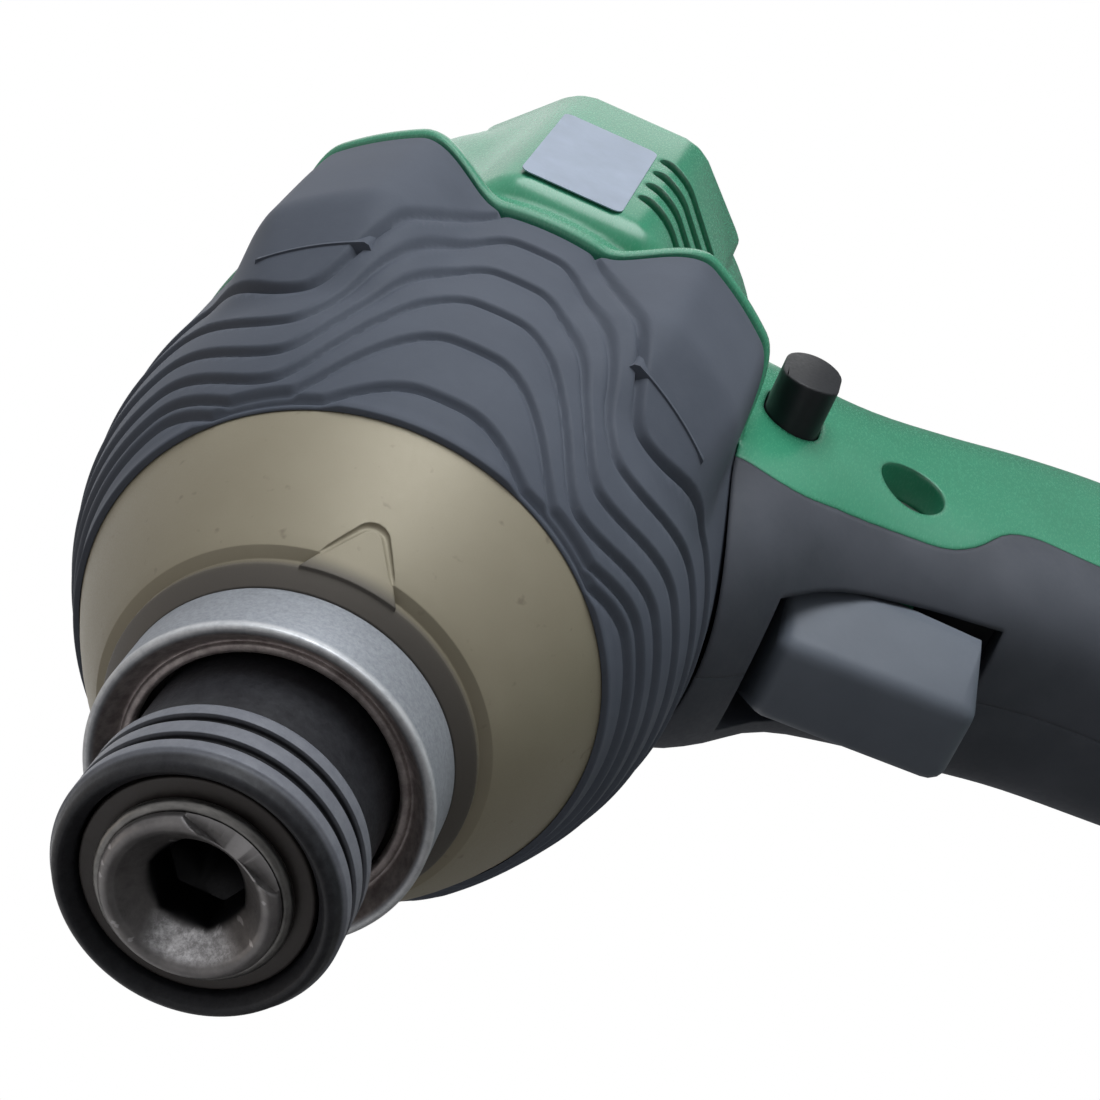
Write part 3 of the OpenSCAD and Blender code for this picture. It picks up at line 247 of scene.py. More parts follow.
def blank_finish(name):
    finish = bpy.data.materials.new(name)
    finish.use_nodes = True
    tree = finish.node_tree
    tree.nodes.clear()
    out = tree.nodes.new("ShaderNodeOutputMaterial")
    shader = tree.nodes.new("ShaderNodeBsdfPrincipled")
    tree.links.new(shader.outputs["BSDF"], out.inputs["Surface"])
    return finish, tree, shader


def grain(tree, scale, detail=5.0, roughness=0.6, stretch=None):
    """Noise on the object's own coordinates, stretched along an axis where asked."""
    place = tree.nodes.new("ShaderNodeTexCoord")
    noise = tree.nodes.new("ShaderNodeTexNoise")
    noise.inputs["Scale"].default_value = scale
    noise.inputs["Detail"].default_value = detail
    noise.inputs["Roughness"].default_value = roughness
    if stretch:
        mapping = tree.nodes.new("ShaderNodeMapping")
        mapping.inputs["Scale"].default_value = stretch
        tree.links.new(place.outputs["Object"], mapping.inputs["Vector"])
        tree.links.new(mapping.outputs["Vector"], noise.inputs["Vector"])
    else:
        tree.links.new(place.outputs["Object"], noise.inputs["Vector"])
    return noise.outputs["Fac"]


def tones(tree, factor, *stops):
    """Colour ramp through (position, grey or colour) stops."""
    ramp = tree.nodes.new("ShaderNodeValToRGB")
    bar = ramp.color_ramp.elements
    while len(bar) < len(stops):
        bar.new(0.5)
    for element, (at, value) in zip(bar, stops):
        element.position = at
        colour = (value,) * 3 if isinstance(value, (int, float)) else value
        element.color = (*colour, 1)
    tree.links.new(factor, ramp.inputs["Fac"])
    return ramp.outputs["Color"]


def soft_edges(tree, radius):
    """Normals rounded over edges by a radius in millimetres."""
    bevel = tree.nodes.new("ShaderNodeBevel")
    bevel.samples = 6
    bevel.inputs["Radius"].default_value = radius * MM
    return bevel.outputs["Normal"]


def relief(tree, shader, *layers, last=None):
    """Bump from (height, strength, depth in millimetres) layers, one over another."""
    for height, strength, depth in layers:
        bump = tree.nodes.new("ShaderNodeBump")
        bump.inputs["Strength"].default_value = strength
        bump.inputs["Distance"].default_value = depth * MM
        tree.links.new(height, bump.inputs["Height"])
        if last:
            tree.links.new(last, bump.inputs["Normal"])
        last = bump.outputs["Normal"]
    tree.links.new(last, shader.inputs["Normal"])


def worn_edges(tree, low=0.5, high=0.56):
    """White on outward edges, from how pointed the mesh is."""
    geometry = tree.nodes.new("ShaderNodeNewGeometry")
    return tones(tree, geometry.outputs["Pointiness"], (low, 0.0), (high, 1.0))


def mixed(tree, factor, first, second):
    mix = tree.nodes.new("ShaderNodeMix")
    mix.data_type = "RGBA"
    tree.links.new(factor, mix.inputs["Factor"])
    for socket, value in ((mix.inputs[6], first), (mix.inputs[7], second)):
        if isinstance(value, tuple):
            socket.default_value = (*value, 1)
        else:
            tree.links.new(value, socket)
    return mix.outputs[2]


def moulded(name, dark, light, rough=(0.45, 0.6), grain_mm=0.5, depth=0.02, specular=0.5, blotch_mm=9,
            edge=0.4):
    """Moulded plastic: two close tones in soft blotches over a fine textured surface."""
    finish, tree, shader = blank_finish(name)
    blotch = grain(tree, 1 / (blotch_mm * MM), 3, 0.5)
    fine = grain(tree, 1 / (grain_mm * MM), 4, 0.6)
    tree.links.new(tones(tree, blotch, (0.3, dark), (0.7, light)), shader.inputs["Base Color"])
    tree.links.new(tones(tree, fine, (0.3, rough[0]), (0.7, rough[1])), shader.inputs["Roughness"])
    shader.inputs["Specular IOR Level"].default_value = specular
    relief(tree, shader, (fine, 0.35, depth), last=soft_edges(tree, edge))
    return finish


def rubber_finish():
    """Soft moulded rubber: blue-black, a bloom of dust, fine pores and a low sheen."""
    finish, tree, shader = blank_finish("guard_rubber")
    bloom = grain(tree, 140, 6, 0.65)
    pores = grain(tree, 4200, 3, 0.5)
    base = tones(tree, bloom, (0.25, (0.088, 0.100, 0.128)), (0.75, (0.112, 0.126, 0.158)))
    dust = tones(tree, grain(tree, 1500, 4, 0.7), (0.66, 0.0), (0.8, 0.35))
    tree.links.new(mixed(tree, dust, base, (0.17, 0.175, 0.185)), shader.inputs["Base Color"])
    tree.links.new(tones(tree, bloom, (0.2, 0.52), (0.8, 0.64)), shader.inputs["Roughness"])
    shader.inputs["Specular IOR Level"].default_value = 0.12
    relief(tree, shader, (pores, 0.25, 0.03), (bloom, 0.08, 0.2))
    return finish


def bronze_finish():
    """Champagne metallic paint on the cast hammer case: fine flake, faint orange peel, a few dark specks, and
    painted shade on the neck next to the ring.
    """
    finish, tree, shader = blank_finish("champagne_case")
    behind, out = along_axis(tree)[:2]
    flake = grain(tree, 6500, 2, 0.5)
    cloud = grain(tree, 70, 4, 0.55)
    specks = grain(tree, 800, 2, 0.4)
    base = tones(tree, cloud, (0.3, (0.280, 0.248, 0.180)), (0.7, (0.320, 0.286, 0.212)))
    dust = tones(tree, specks, (0.70, 0.0), (0.8, 0.6))
    # Painted shade: the forward-facing neck between the ring and the dome is coloured dark brown.
    neck = both(tree, between(tree, behind, -24.6, -23.0), between(tree, out, 17.4, 16.6))
    painted = mixed(tree, dust, base, (0.17, 0.14, 0.105))
    tree.links.new(mixed(tree, neck, painted, (0.092, 0.082, 0.072)), shader.inputs["Base Color"])
    shader.inputs["Metallic"].default_value = 0.15
    shader.inputs["Specular IOR Level"].default_value = 0.3
    tree.links.new(tones(tree, flake, (0.3, 0.42), (0.7, 0.56)), shader.inputs["Roughness"])
    relief(tree, shader, (flake, 0.12, 0.02), (cloud, 0.05, 0.2), last=soft_edges(tree, 0.18))
    return finish


def aluminium_finish():
    """Bare turned aluminium: bright on the front edge, partly rubbed metal and partly a painted highlight,
    dull and stained in the dish, pitted all over.
    """
    finish, tree, shader = blank_finish("bare_aluminium")
    behind, out = along_axis(tree)[:2]
    pits = grain(tree, 2600, 6, 0.75)
    rubbed = grain(tree, 500, 5, 0.6, (6, 1, 1))
    chatter = grain(tree, 900, 4, 0.7)
    base = tones(tree, pits, (0.3, (0.26, 0.275, 0.305)), (0.62, (0.37, 0.39, 0.425)))
    stain = tones(tree, chatter, (0.35, (0.29, 0.250, 0.245)), (0.72, (0.56, 0.500, 0.490)))
    inner = between(tree, out, 13.35, 12.9)
    # The bright front edge band is partly rubbed metal and partly a painted highlight along the rolled edge.
    edge = both(tree, between(tree, behind, -16.5, -15.9), between(tree, out, 13.15, 13.45))
    worn = both(tree, edge, tones(tree, chatter, (0.3, 0.45), (0.6, 1.0)))
    bright = mixed(tree, worn, base, (0.62, 0.63, 0.65))
    tree.links.new(mixed(tree, inner, bright, stain), shader.inputs["Base Color"])
    shader.inputs["Metallic"].default_value = 0.4
    shader.inputs["Specular IOR Level"].default_value = 0.15
    shader.inputs["Specular Tint"].default_value = (0.30, 0.28, 0.28, 1)
    tree.links.new(tones(tree, rubbed, (0.3, 0.42), (0.7, 0.6)), shader.inputs["Roughness"])
    relief(tree, shader, (pits, 0.4, 0.05), (rubbed, 0.2, 0.03))
    return finish


def anvil_finish():
    """Dark phosphated steel, rubbed on its rim, with a painted highlight broken up like scratches low in the
    mouth of the socket, and painted shade, near black, down the hex bore.
    """
    finish, tree, shader = blank_finish("anvil_steel")
    behind, out, left, up = along_axis(tree)
    rub = grain(tree, 420, 6, 0.7)
    fine = grain(tree, 3600, 4, 0.6)
    nicks = grain(tree, 1100, 6, 0.8)
    base = tones(tree, rub, (0.35, (0.088, 0.083, 0.084)), (0.72, (0.160, 0.151, 0.150)))
    edge = worn_edges(tree, 0.5, 0.58)
    # Painted highlight: a bright patch low in the mouth of the socket, on the tool's right, broken up by the
    # nicks.
    mouth = both(tree, between(tree, out, 5.6, 5.0), between(tree, behind, -2.6, -1.9))
    low = both(tree, mouth, both(tree, between(tree, left, -1.8, -3.6), between(tree, up, 2.6, 1.0)))
    painted_mouth_highlight = both(tree, low, tones(tree, nicks, (0.42, 0.25), (0.66, 1.0)))
    worn = mixed(tree, edge, base, (0.30, 0.29, 0.295))
    shiny = mixed(tree, painted_mouth_highlight, worn, (0.66, 0.65, 0.67))
    # Painted shade: the hex bore past the mouth is coloured near black.
    bore = both(tree, between(tree, out, 4.3, 3.7), between(tree, behind, -2.0, -2.7))
    tree.links.new(mixed(tree, bore, shiny, (0.004, 0.004, 0.005)), shader.inputs["Base Color"])
    shader.inputs["Metallic"].default_value = 0.6
    shader.inputs["Specular IOR Level"].default_value = 0.3
    tree.links.new(tones(tree, fine, (0.3, 0.36), (0.7, 0.52)), shader.inputs["Roughness"])
    relief(tree, shader, (fine, 0.25, 0.03), (nicks, 0.15, 0.04))
    return finish


def sleeve_finish():
    """Black oxide sleeve: dark grey on the turned bands, black in the grooves and on the neck, dusty."""
    finish, tree, shader = blank_finish("black_sleeve")
    behind, out = along_axis(tree)[:2]
    fine = grain(tree, 3000, 5, 0.65)
    dust = grain(tree, 900, 6, 0.75)
    band = tones(tree, dust, (0.3, (0.150, 0.157, 0.185)), (0.75, (0.210, 0.218, 0.245)))
    deep = tones(tree, dust, (0.35, (0.012, 0.012, 0.015)), (0.8, (0.034, 0.035, 0.040)))
    raised = both(tree, between(tree, out, 10.6, 10.85), between(tree, behind, -1.5, -2.5))
    tree.links.new(mixed(tree, raised, deep, band), shader.inputs["Base Color"])
    shader.inputs["Metallic"].default_value = 0.1
    shader.inputs["Specular IOR Level"].default_value = 0.25
    tree.links.new(tones(tree, fine, (0.3, 0.42), (0.7, 0.58)), shader.inputs["Roughness"])
    relief(tree, shader, (fine, 0.22, 0.03))
    return finish


def green_finish():
    """Green housing plastic: semi-gloss, slightly wavy, fine scuffs."""
    finish, tree, shader = blank_finish("green_housing")
    cloud = grain(tree, 60, 3, 0.5)
    scuff = grain(tree, 1800, 6, 0.7, (1, 1, 3))
    base = tones(tree, cloud, (0.3, (0.043, 0.288, 0.162)), (0.7, (0.056, 0.336, 0.192)))
    tree.links.new(base, shader.inputs["Base Color"])
    tree.links.new(tones(tree, scuff, (0.4, 0.22), (0.8, 0.36)), shader.inputs["Roughness"])
    shader.inputs["Specular IOR Level"].default_value = 0.45
    shader.inputs["Coat Weight"].default_value = 0.15
    shader.inputs["Coat Roughness"].default_value = 0.15
    relief(tree, shader, (cloud, 0.05, 0.4), (scuff, 0.06, 0.02), last=soft_edges(tree, 0.9))
    return finish


def steel_finish(name, dark, light, rough=(0.25, 0.42), metallic=0.95):
    """Plain machined steel."""
    finish, tree, shader = blank_finish(name)
    lines = grain(tree, 900, 5, 0.6, (5, 1, 1))
    tree.links.new(tones(tree, lines, (0.3, dark), (0.7, light)), shader.inputs["Base Color"])
    shader.inputs["Metallic"].default_value = metallic
    tree.links.new(tones(tree, lines, (0.3, rough[0]), (0.7, rough[1])), shader.inputs["Roughness"])
    relief(tree, shader, (lines, 0.12, 0.02))
    return finish


def label_finish():
    """Plain pale foil label, blank, with faint rubbed patches."""
    finish, tree, shader = blank_finish("blank_label")
    rub = grain(tree, 240, 5, 0.6)
    tree.links.new(tones(tree, rub, (0.35, (0.30, 0.36, 0.46)), (0.7, (0.40, 0.46, 0.57))),
                   shader.inputs["Base Color"])
    tree.links.new(tones(tree, rub, (0.3, 0.3), (0.7, 0.48)), shader.inputs["Roughness"])
    relief(tree, shader, (rub, 0.06, 0.05))
    return finish


def lens_finish():
    finish, tree, shader = blank_finish("light_lens")
    ribs = grain(tree, 700, 2, 0.4, (1, 4, 1))
    tree.links.new(tones(tree, ribs, (0.3, (0.84, 0.86, 0.88)), (0.7, (0.94, 0.95, 0.96))),
                   shader.inputs["Base Color"])
    tree.links.new(tones(tree, ribs, (0.3, 0.1), (0.7, 0.22)), shader.inputs["Roughness"])
    shader.inputs["Transmission Weight"].default_value = 0.5
    relief(tree, shader, (ribs, 0.2, 0.1))
    return finish


RUBBER = rubber_finish()
BRONZE = bronze_finish()
ALUMINIUM = aluminium_finish()
ANVIL = anvil_finish()
SLEEVE = sleeve_finish()
GREEN = green_finish()
LABEL = label_finish()
LENS = lens_finish()
STEEL = steel_finish("machined_steel", (0.36, 0.365, 0.37), (0.55, 0.555, 0.56))
WASHER = steel_finish("oiled_washer", (0.020, 0.016, 0.015), (0.040, 0.034, 0.032), (0.45, 0.6), 0.3)
DARK_STEEL = steel_finish("hardened_steel", (0.09, 0.088, 0.086), (0.17, 0.165, 0.16), (0.34, 0.5))
BUSH = steel_finish("sintered_bronze", (0.42, 0.25, 0.1), (0.55, 0.35, 0.16))
COPPER = steel_finish("enamelled_copper", (0.4, 0.14, 0.05), (0.55, 0.22, 0.09), (0.2, 0.35), 0.8)
GRIP = moulded("grip_rubber", (0.070, 0.076, 0.092), (0.092, 0.099, 0.119), (0.5, 0.64), 0.6, 0.03, 0.2,
               7, 0.7)
GREY = moulded("trigger_grey", (0.128, 0.146, 0.178), (0.155, 0.175, 0.210), (0.42, 0.56), 0.45, 0.02, 0.25)
BLACK = moulded("button_black", (0.010, 0.011, 0.014), (0.017, 0.018, 0.022), (0.38, 0.52), 0.5, 0.02, 0.3)
PACK = moulded("battery_black", (0.012, 0.012, 0.013), (0.019, 0.019, 0.021), (0.5, 0.66), 0.8, 0.05)
WHITE = moulded("thrust_polymer", (0.6, 0.58, 0.53), (0.7, 0.68, 0.63))
BOARD = moulded("board_laminate", (0.012, 0.06, 0.03), (0.02, 0.085, 0.045), (0.3, 0.4))
WRAP = moulded("cell_wrap", (0.03, 0.1, 0.22), (0.045, 0.13, 0.27), (0.2, 0.3))

FINISH_BY_SLOT = {
    "dark_steel": DARK_STEEL, "spring_steel": STEEL, "black_sleeve": SLEEVE, "bare_aluminium": ALUMINIUM,
    "bronze_case": BRONZE, "bronze_bush": BUSH, "white_polymer": WHITE, "black_rubber": RUBBER,
    "green_plastic": GREEN, "black_plastic": BLACK, "grey_plastic": GREY, "copper_winding": COPPER,
    "board_green": BOARD, "clear_lens": LENS, "cell_wrap": WRAP,
}
for part in frame["record"]["subparts"]:
    mesh = nodes[part["node"]].data
    mesh.materials.clear()
    mesh.materials.append(FINISH_BY_SLOT[part["material_slot"]])
for name in ("battery_upper", "battery_lower"):
    nodes[name].data.materials[0] = PACK


# Bit holder

def bit_sleeve():
    """Black sleeve: brow, two grooves, step to the neck, and the bore with its land and release cone."""
    front, rear = -0.95, -21.0
    outer, groove, neck, bore, land, release = 11.0, 10.4, 10.2, 9.0, 6.78, 8.3
    profile = [(-2.0, bore, 0.25), (front, 9.75, 0.6), (-1.1, 10.35, 0.5),
               (-2.2, outer - 0.2, 0.12), (-2.4, outer, 0.12)]
    for g in (-3.5, -6.2):
        profile += [(g, outer, 0.07), (g - 0.04, groove, 0.1),
                    (g - 1.06, groove, 0.1), (g - 1.1, outer, 0.07)]
    profile += [(-8.7, outer, 0.3), (-9.2, neck, 0.3), (rear, neck, 0.3), (rear, release, 0.2),
                (-19.5, release, 0.2), (-15.3, land, 0.1), (-11.5, land, 0.1), (-11.5, bore, 0.1)]
    return dress(turned("bit_sleeve_turned", profile), SLEEVE, "sleeve", "black_sleeve", "bit_sleeve")


def nose_ring():
    """Bare ring: rolled front edge, dished face, and a low collar round the sleeve."""
    outer, seat, lip = 13.9, 12.02, 10.7
    profile = [(-22, seat, 0.1), (-22, outer, 0.25), (-15.5, outer, 0.75), (-15.55, outer - 0.75, 0.4),
               (-17.45, 11.85, 0.2), (-17.5, 11.62, 0.1), (-17.12, 11.5, 0.2), (-17.05, 10.95, 0.2),
               (-17.4, lip, 0.2), (-18.2, lip, 0.1), (-18.2, seat, 0.1)]
    return dress(turned("nose_ring_turned", profile, 200), ALUMINIUM, "body", "bare_aluminium", "nose_ring")


def anvil():
    """Anvil: the CAD shank and lugs, and a finer tip with wire groove, side flat, funnel and hex bore."""
    cut, shank, mouth, taper, lip = -6.0, 6.7, 5.4, 0.84, 0.25
    flat_r, flat_turn, tip_rear = 5.1, 19, -0.92
    a = np.arange(0, 360, 1.0)
    facing = np.cos(np.radians(a + flat_turn))
    flat = np.where(facing > 0.5, flat_r / np.maximum(facing, 0.5), 99.0)
    brink = np.minimum(0.0, (flat - 0.12 - mouth) / taper - lip)
    sector = np.abs((a % 60) - 30)
    hexagon = np.minimum(3.175 / np.cos(np.radians(30 - sector)), 3.6)
    outline = rounded([(cut, shank, 0), (-2.1, shank, 0.08), (-2.1, 6.25, 0.08), (-1.0, 6.25, 0.08),
                       (-1.0, shank, 0.08), (-0.45, shank, 0.3), (0, shank - 0.45, 0.3), (0, 5.75, 0.35),
                       (-lip, mouth, 0)], closed=False)
    xs, rs = [], []
    for x, r in outline:
        xs.append(np.minimum(x, brink) if x > tip_rear else np.full_like(a, x))
        rs.append(np.minimum(r, flat) if x > tip_rear else np.full_like(a, r))
    for x in np.concatenate((np.linspace(-0.35, -3.4, 28), (-4.2, -5.0, cut))):
        under = np.minimum(x, brink - 0.05)
        cone = mouth + (under + lip) * taper
        soft = 0.16
        xs.append(under)
        rs.append(soft * np.log(np.exp(np.maximum(cone, 0.5) / soft) + np.exp(hexagon / soft)))
    tip = bent_ring("anvil_tip", a, np.array(xs), np.array(rs), 40)
    piece = smooth_copy("anvil", "anvil_machined", 30)
    edit_all(piece)
    bpy.ops.mesh.bisect(plane_co=tool(cut - 0.02, 0, 0), plane_no=(1, 0, 0), clear_outer=True)
    bpy.ops.mesh.select_all(action="DESELECT")
    bpy.ops.mesh.select_non_manifold()
    bpy.ops.mesh.bridge_edge_loops()
    bpy.ops.mesh.select_all(action="SELECT")
    bpy.ops.mesh.normals_make_consistent(inside=False)
    deselect()
    tip.select_set(True)
    piece.select_set(True)
    bpy.context.view_layer.objects.active = piece
    bpy.ops.object.join()
    return dress(piece, ANVIL, "anvil", "dark_steel", "anvil")


def stop_washer():
    profile = [(-3.17, 6.75, 0.1), (-3.17, 8.75, 0.2), (-2.12, 8.75, 0.25), (-2.12, 6.75, 0.1)]
    return dress(turned("stop_washer_turned", profile), WASHER, "anvil", "dark_steel", "stop_washer")


# Hammer case and guard

DOME_FRONT, DOME_LEN, DOME_START, CASE_R, FLANGE = -24.6, 30.0, 16.4, 26.0, -68.0
RUBBER_FRONT, RUBBER_REAR, RUBBER_EDGE, RUBBER_T, FLARE = -36.7, -76.0, 0.4, 2.7, 0.3
BOSS_ANGLE, BOSS_FLAT, BOSS_SPREAD, BOSS_RISE, WAVE = 34.0, 7.0, 24.0, 4.8, 5.0
RAMP_FRONT, RAMP_LEN, RAMP_SOFT = -50.8, 11.2, 0.13
TERRACES, CLIFF, GROOVE = 6, 0.6, 0.3
# Lead of the first terrace line and growth from line to line, on the flank, on a boss and past the bosses
ON_FLANK, ON_BOSS, PAST_BOSS = (3.2, 7.4), (1.4, 0.45), (-2.9, 0.495)
OVERLAP_R, EAR_FRONT, EAR_TOP = 26.53, -59.0, 30.9


def ease(a, b, v):
    t = np.clip((np.asarray(v, float) - a) / (b - a), 0, 1)
    return t * t * (3 - 2 * t)


def case_outer(x):
    u = np.clip((DOME_FRONT - np.asarray(x, float)) / DOME_LEN, 0, 1)
    return DOME_START + (CASE_R - DOME_START) * (1 - (1 - u) ** 2)


def from_flank(a):
    return np.abs((a + 90) % 180 - 90)


def boss_near(a):
    return 1 - ease(BOSS_FLAT, BOSS_SPREAD, np.abs(from_flank(a) - BOSS_ANGLE))


def boss_ramp(x):
    """Slanted front of a boss: straight, with a soft foot and a soft crest."""
    s, c = (RAMP_FRONT - x) / RAMP_LEN, RAMP_SOFT
    foot = (s + c) ** 2 / (4 * c)
    crest = 1 - (1 + c - s) ** 2 / (4 * c)
    return np.where(s < -c, 0, np.where(s < c, foot, np.where(s < 1 - c, s, np.where(s < 1 + c, crest, 1))))


def terrace_lines(a, rear):
    """Where each terrace steps up, as a distance along the axis for every angle."""
    lines = []
    limit = np.full_like(a, RUBBER_FRONT - 0.3)
    near_flank, past_boss = ease(4, BOSS_ANGLE, from_flank(a)), ease(BOSS_ANGLE, 62, from_flank(a))
    for k in range(1, TERRACES + 1):
        flank = RUBBER_FRONT + ON_FLANK[0] - ON_FLANK[1] * k
        boss = RUBBER_FRONT + ON_BOSS[0] - ON_BOSS[1] * k * k
        outside = RUBBER_FRONT + PAST_BOSS[0] - PAST_BOSS[1] * k * k
        free = (flank * (1 - near_flank) + boss * near_flank) * (1 - past_boss) + outside * past_boss
        limit = np.minimum(free, limit - 0.5)
        lines.append(np.maximum(limit, rear - 3))
    return np.array(lines)


def guard():
    """Terraced rubber guard: a grid bent into a ring, with its rows laid along the terrace lines."""
    columns, fill = 480, 46
    a = np.arange(columns) * 360.0 / columns
    near = boss_near(a)
    rear = RUBBER_REAR - WAVE * near
    lines = terrace_lines(a, rear)
    arc = math.radians(360 / columns) * 27.5
    slope = (np.roll(lines, -1, 1) - np.roll(lines, 1, 1)) / (2 * arc)
    width = CLIFF * np.sqrt(1 + np.minimum(slope ** 2, 6))

    def skin(x):
        level, foot = 0.0, 0.0
        for k in range(TERRACES):
            t = (lines[k] - x) / width[k]
            level = level + ease(-0.5, 0.5, t)
            deep = 1.0 + (0.8 * near if k == TERRACES - 1 else 0.0)
            foot = np.maximum(foot, deep * np.exp(-((t + 0.5) / 0.42) ** 2))
        return (case_outer(x) + RUBBER_EDGE + (RUBBER_T - RUBBER_EDGE) * level / TERRACES - GROOVE * foot
                + FLARE * ease(-60, RUBBER_REAR, x) + BOSS_RISE * near * boss_ramp(x))

    rows = [lines[k] + o * width[k] for k in range(TERRACES)
            for o in (-1.2, -0.75, -0.5, -0.3, -0.1, 0.1, 0.3, 0.5, 0.75, 1.2)]
    rows += [RUBBER_FRONT + (rear - RUBBER_FRONT) * i / fill for i in range(1, fill)]
    x = np.sort(np.clip(np.array(rows), rear + 1.1, RUBBER_FRONT - 0.3), axis=0)[::-1]
    r = skin(x)
    section = list(zip(x, r))
    xf, xr, rf, rr = np.full_like(a, RUBBER_FRONT), rear, r[0], r[-1]
    back = [(xr + 0.6, rr - 0.06), (xr + 0.28, rr - 0.25), (xr + 0.08, rr - 0.6), (xr, rr - 1.1),
            (xr, OVERLAP_R + BOSS_RISE * near)]
    hollow = 1 - ease(9.5, 13, np.abs(from_flank(a) - BOSS_ANGLE))
    inside = [(np.full_like(a, FLANGE - 0.2), OVERLAP_R + BOSS_RISE * near)]
    for xi in (FLANGE + 0.2, EAR_FRONT + 3.5, EAR_FRONT + 3.8, -50.0, -45.0, -41.0, -38.0):
        room = hollow if xi < EAR_FRONT + 3.6 else 0.0
        base = case_outer(xi) + 0.07
        inside.append((np.full_like(a, xi), base + (EAR_TOP - base) * room))
    lip = [(xf, case_outer(RUBBER_FRONT) + 0.07 + 0 * a), (xf, rf - 0.2), (xf - 0.1, rf - 0.06)]
    section += back + inside + lip
    xs = np.array([np.broadcast_to(p[0], a.shape) for p in section])
    rs = np.array([np.broadcast_to(p[1], a.shape) for p in section])
    piece = bent_ring("guard_rubber_moulded", a, xs, rs, 60)
    return dress(piece, RUBBER, "body", "black_rubber", "front_protector")


def blank_label():
    """Pale blank label on the left pad."""
    place, length, height, corner, thick = (-95.4, 30.05, 0.4), 22.6, 10.6, 1.0, 0.12
    deselect()
    bpy.ops.mesh.primitive_plane_add(size=1, location=tool(*place), rotation=(-math.pi / 2, 0, 0))
    piece = bpy.context.object
    piece.name = "blank_label_foil"
    piece.scale = (length * MM, height * MM, 1)
    settle(piece)
    edit_all(piece)
    bpy.ops.mesh.bevel(offset=corner * MM, segments=5, affect="VERTICES")
    bpy.ops.mesh.extrude_region_move(TRANSFORM_OT_translate={"value": (0, thick * MM, 0)})
    bpy.ops.mesh.select_all(action="SELECT")
    bpy.ops.mesh.normals_make_consistent(inside=False)
    shade(piece, 40)
    return dress(piece, LABEL, "body", "white_polymer")


MARK_BASE, MARK_HALF, MARK_LEN, MARK_ROUND, MARK_FLOOR = DOME_FRONT + 1.4, 4.0, 4.4, 1.3, 12.5
LINE_R, LINE_TAPER = 0.42, 0.3


def dome_line(x):
    """Radius of the dome's front slope carried on towards the ring."""
    return DOME_START + 2 * (CASE_R - DOME_START) / DOME_LEN * (DOME_FRONT - x)


def hammer_case():
    """Cast case: the CAD case inside a softer shoulder, with the raised arrowhead and its line on the left."""
    begin, ears, inner = DOME_FRONT - 1.5, -57.5, 5.0
    start = np.array((begin, float(case_outer(begin))))
    bend = np.array((MARK_BASE, dome_line(MARK_BASE)))
    face = np.array((-22.05, 13.95))
    outline = [(-100.0, inner, 0), (-100.0, 60.0, 0), (ears, 60.0, 0),
               (ears, float(case_outer(ears)) + 0.05, 0)]
    outline += [(x, float(case_outer(x)) + 0.03, 0) for x in np.arange(-56.0, begin - 0.3, 1.0)]
    for t in np.linspace(0, 1, 9):
        outline.append((*((1 - t) ** 2 * start + 2 * t * (1 - t) * bend + t * t * face), 0))
    outline.append((face[0], inner, 0))
    case = smooth_copy("hammer_case", "case_cast", 24)
    combine(case, turned("envelope", outline, 240), "INTERSECT")
    arc = [(MARK_BASE - MARK_LEN + MARK_ROUND * (1 + math.cos(a)), MARK_ROUND * math.sin(a))
           for a in np.radians(np.arange(120, 241, 10))]
    path = [(MARK_BASE, MARK_HALF)] + arc + [(MARK_BASE, -MARK_HALF)]
    back, fore = MARK_BASE - MARK_LEN - 1, MARK_BASE + 0.01
    sheet = turned("mark", [(back, MARK_FLOOR, 0), (back, dome_line(back), 0),
                            (fore, dome_line(fore), 0), (fore, MARK_FLOOR, 0)], 480)
    combine(sheet, prism("mark_zone", path, 5, 40), "INTERSECT")
    combine(case, sheet, "UNION")
    foot, shoulder = np.array(path[0]), np.array(path[1])
    side = np.array([foot + (shoulder - foot) * t for t in np.linspace(0, 1, 7)[:-1]])
    line = np.vstack((side, arc, (side * (1, -1))[::-1]))
    along = np.abs(np.linspace(-1, 1, len(line)))
    around = np.radians(np.arange(0, 360, 30))
    rows = []
    for (x, z), far in zip(line, along):
        size = LINE_R - LINE_TAPER * far ** 2
        y = math.sqrt(max(dome_line(x), float(case_outer(x))) ** 2 - z * z)
        before, after = line[max(0, len(rows) - 1)], line[min(len(line) - 1, len(rows) + 1)]
        across = np.array((-(after - before)[1], (after - before)[0])) / np.hypot(*(after - before))
        rows.append([(x + size * math.cos(b) * across[0], y + size * math.sin(b),
                      z + size * math.cos(b) * across[1]) for b in around])
    combine(case, loft("line", rows), "DIFFERENCE")
    cleaned(case)
    shade(case, 28)
    return dress(case, BRONZE, "body", "bronze_case", "hammer_case")


# Housing, grips and trigger

HEAD_W, HEAD_H, COVER_SPLIT, HEAD_END = 58.0, 57.6, -119.0, -127.0
PAD_Y, PAD_TOP, PAD_BOTTOM, PAD_CHAMFER, PAD_FRONT = 30.0, 6.0, -8.5, 9.0, -83.0
RIM_W, RIM_R = 2.2, CASE_R + RUBBER_T + FLARE + 0.35
RIM_FLOOR = 24.4
FOOT_JOIN, PARTING = -134.0, 0.03
# Bores for motor and gears, and for the fan behind them; where the hammer case ends
HEAD_BORE, FAN_BORE, CASE_REAR = 24.15, 23.25, -68.2
SLOTS, SLOT_PITCH, SLOT_R = 4, 4.6, 1.1
# Head: station, share of the width, share of the height, squareness
HEAD_STATIONS = ((-66, 0.97, 0.98, 2.1), (-76, 0.985, 0.985, 2.1), (-86, 0.96, 0.965, 2.05),
                 (-94.4, 0.945, 0.95, 2.0), (-110.4, 0.925, 0.93, 2.0), (COVER_SPLIT, 0.87, 0.87, 2.0),
                 (-123, 0.84, 0.84, 2.0), (-125.8, 0.78, 0.78, 2.0), (HEAD_END, 0.7, 0.7, 2.0))
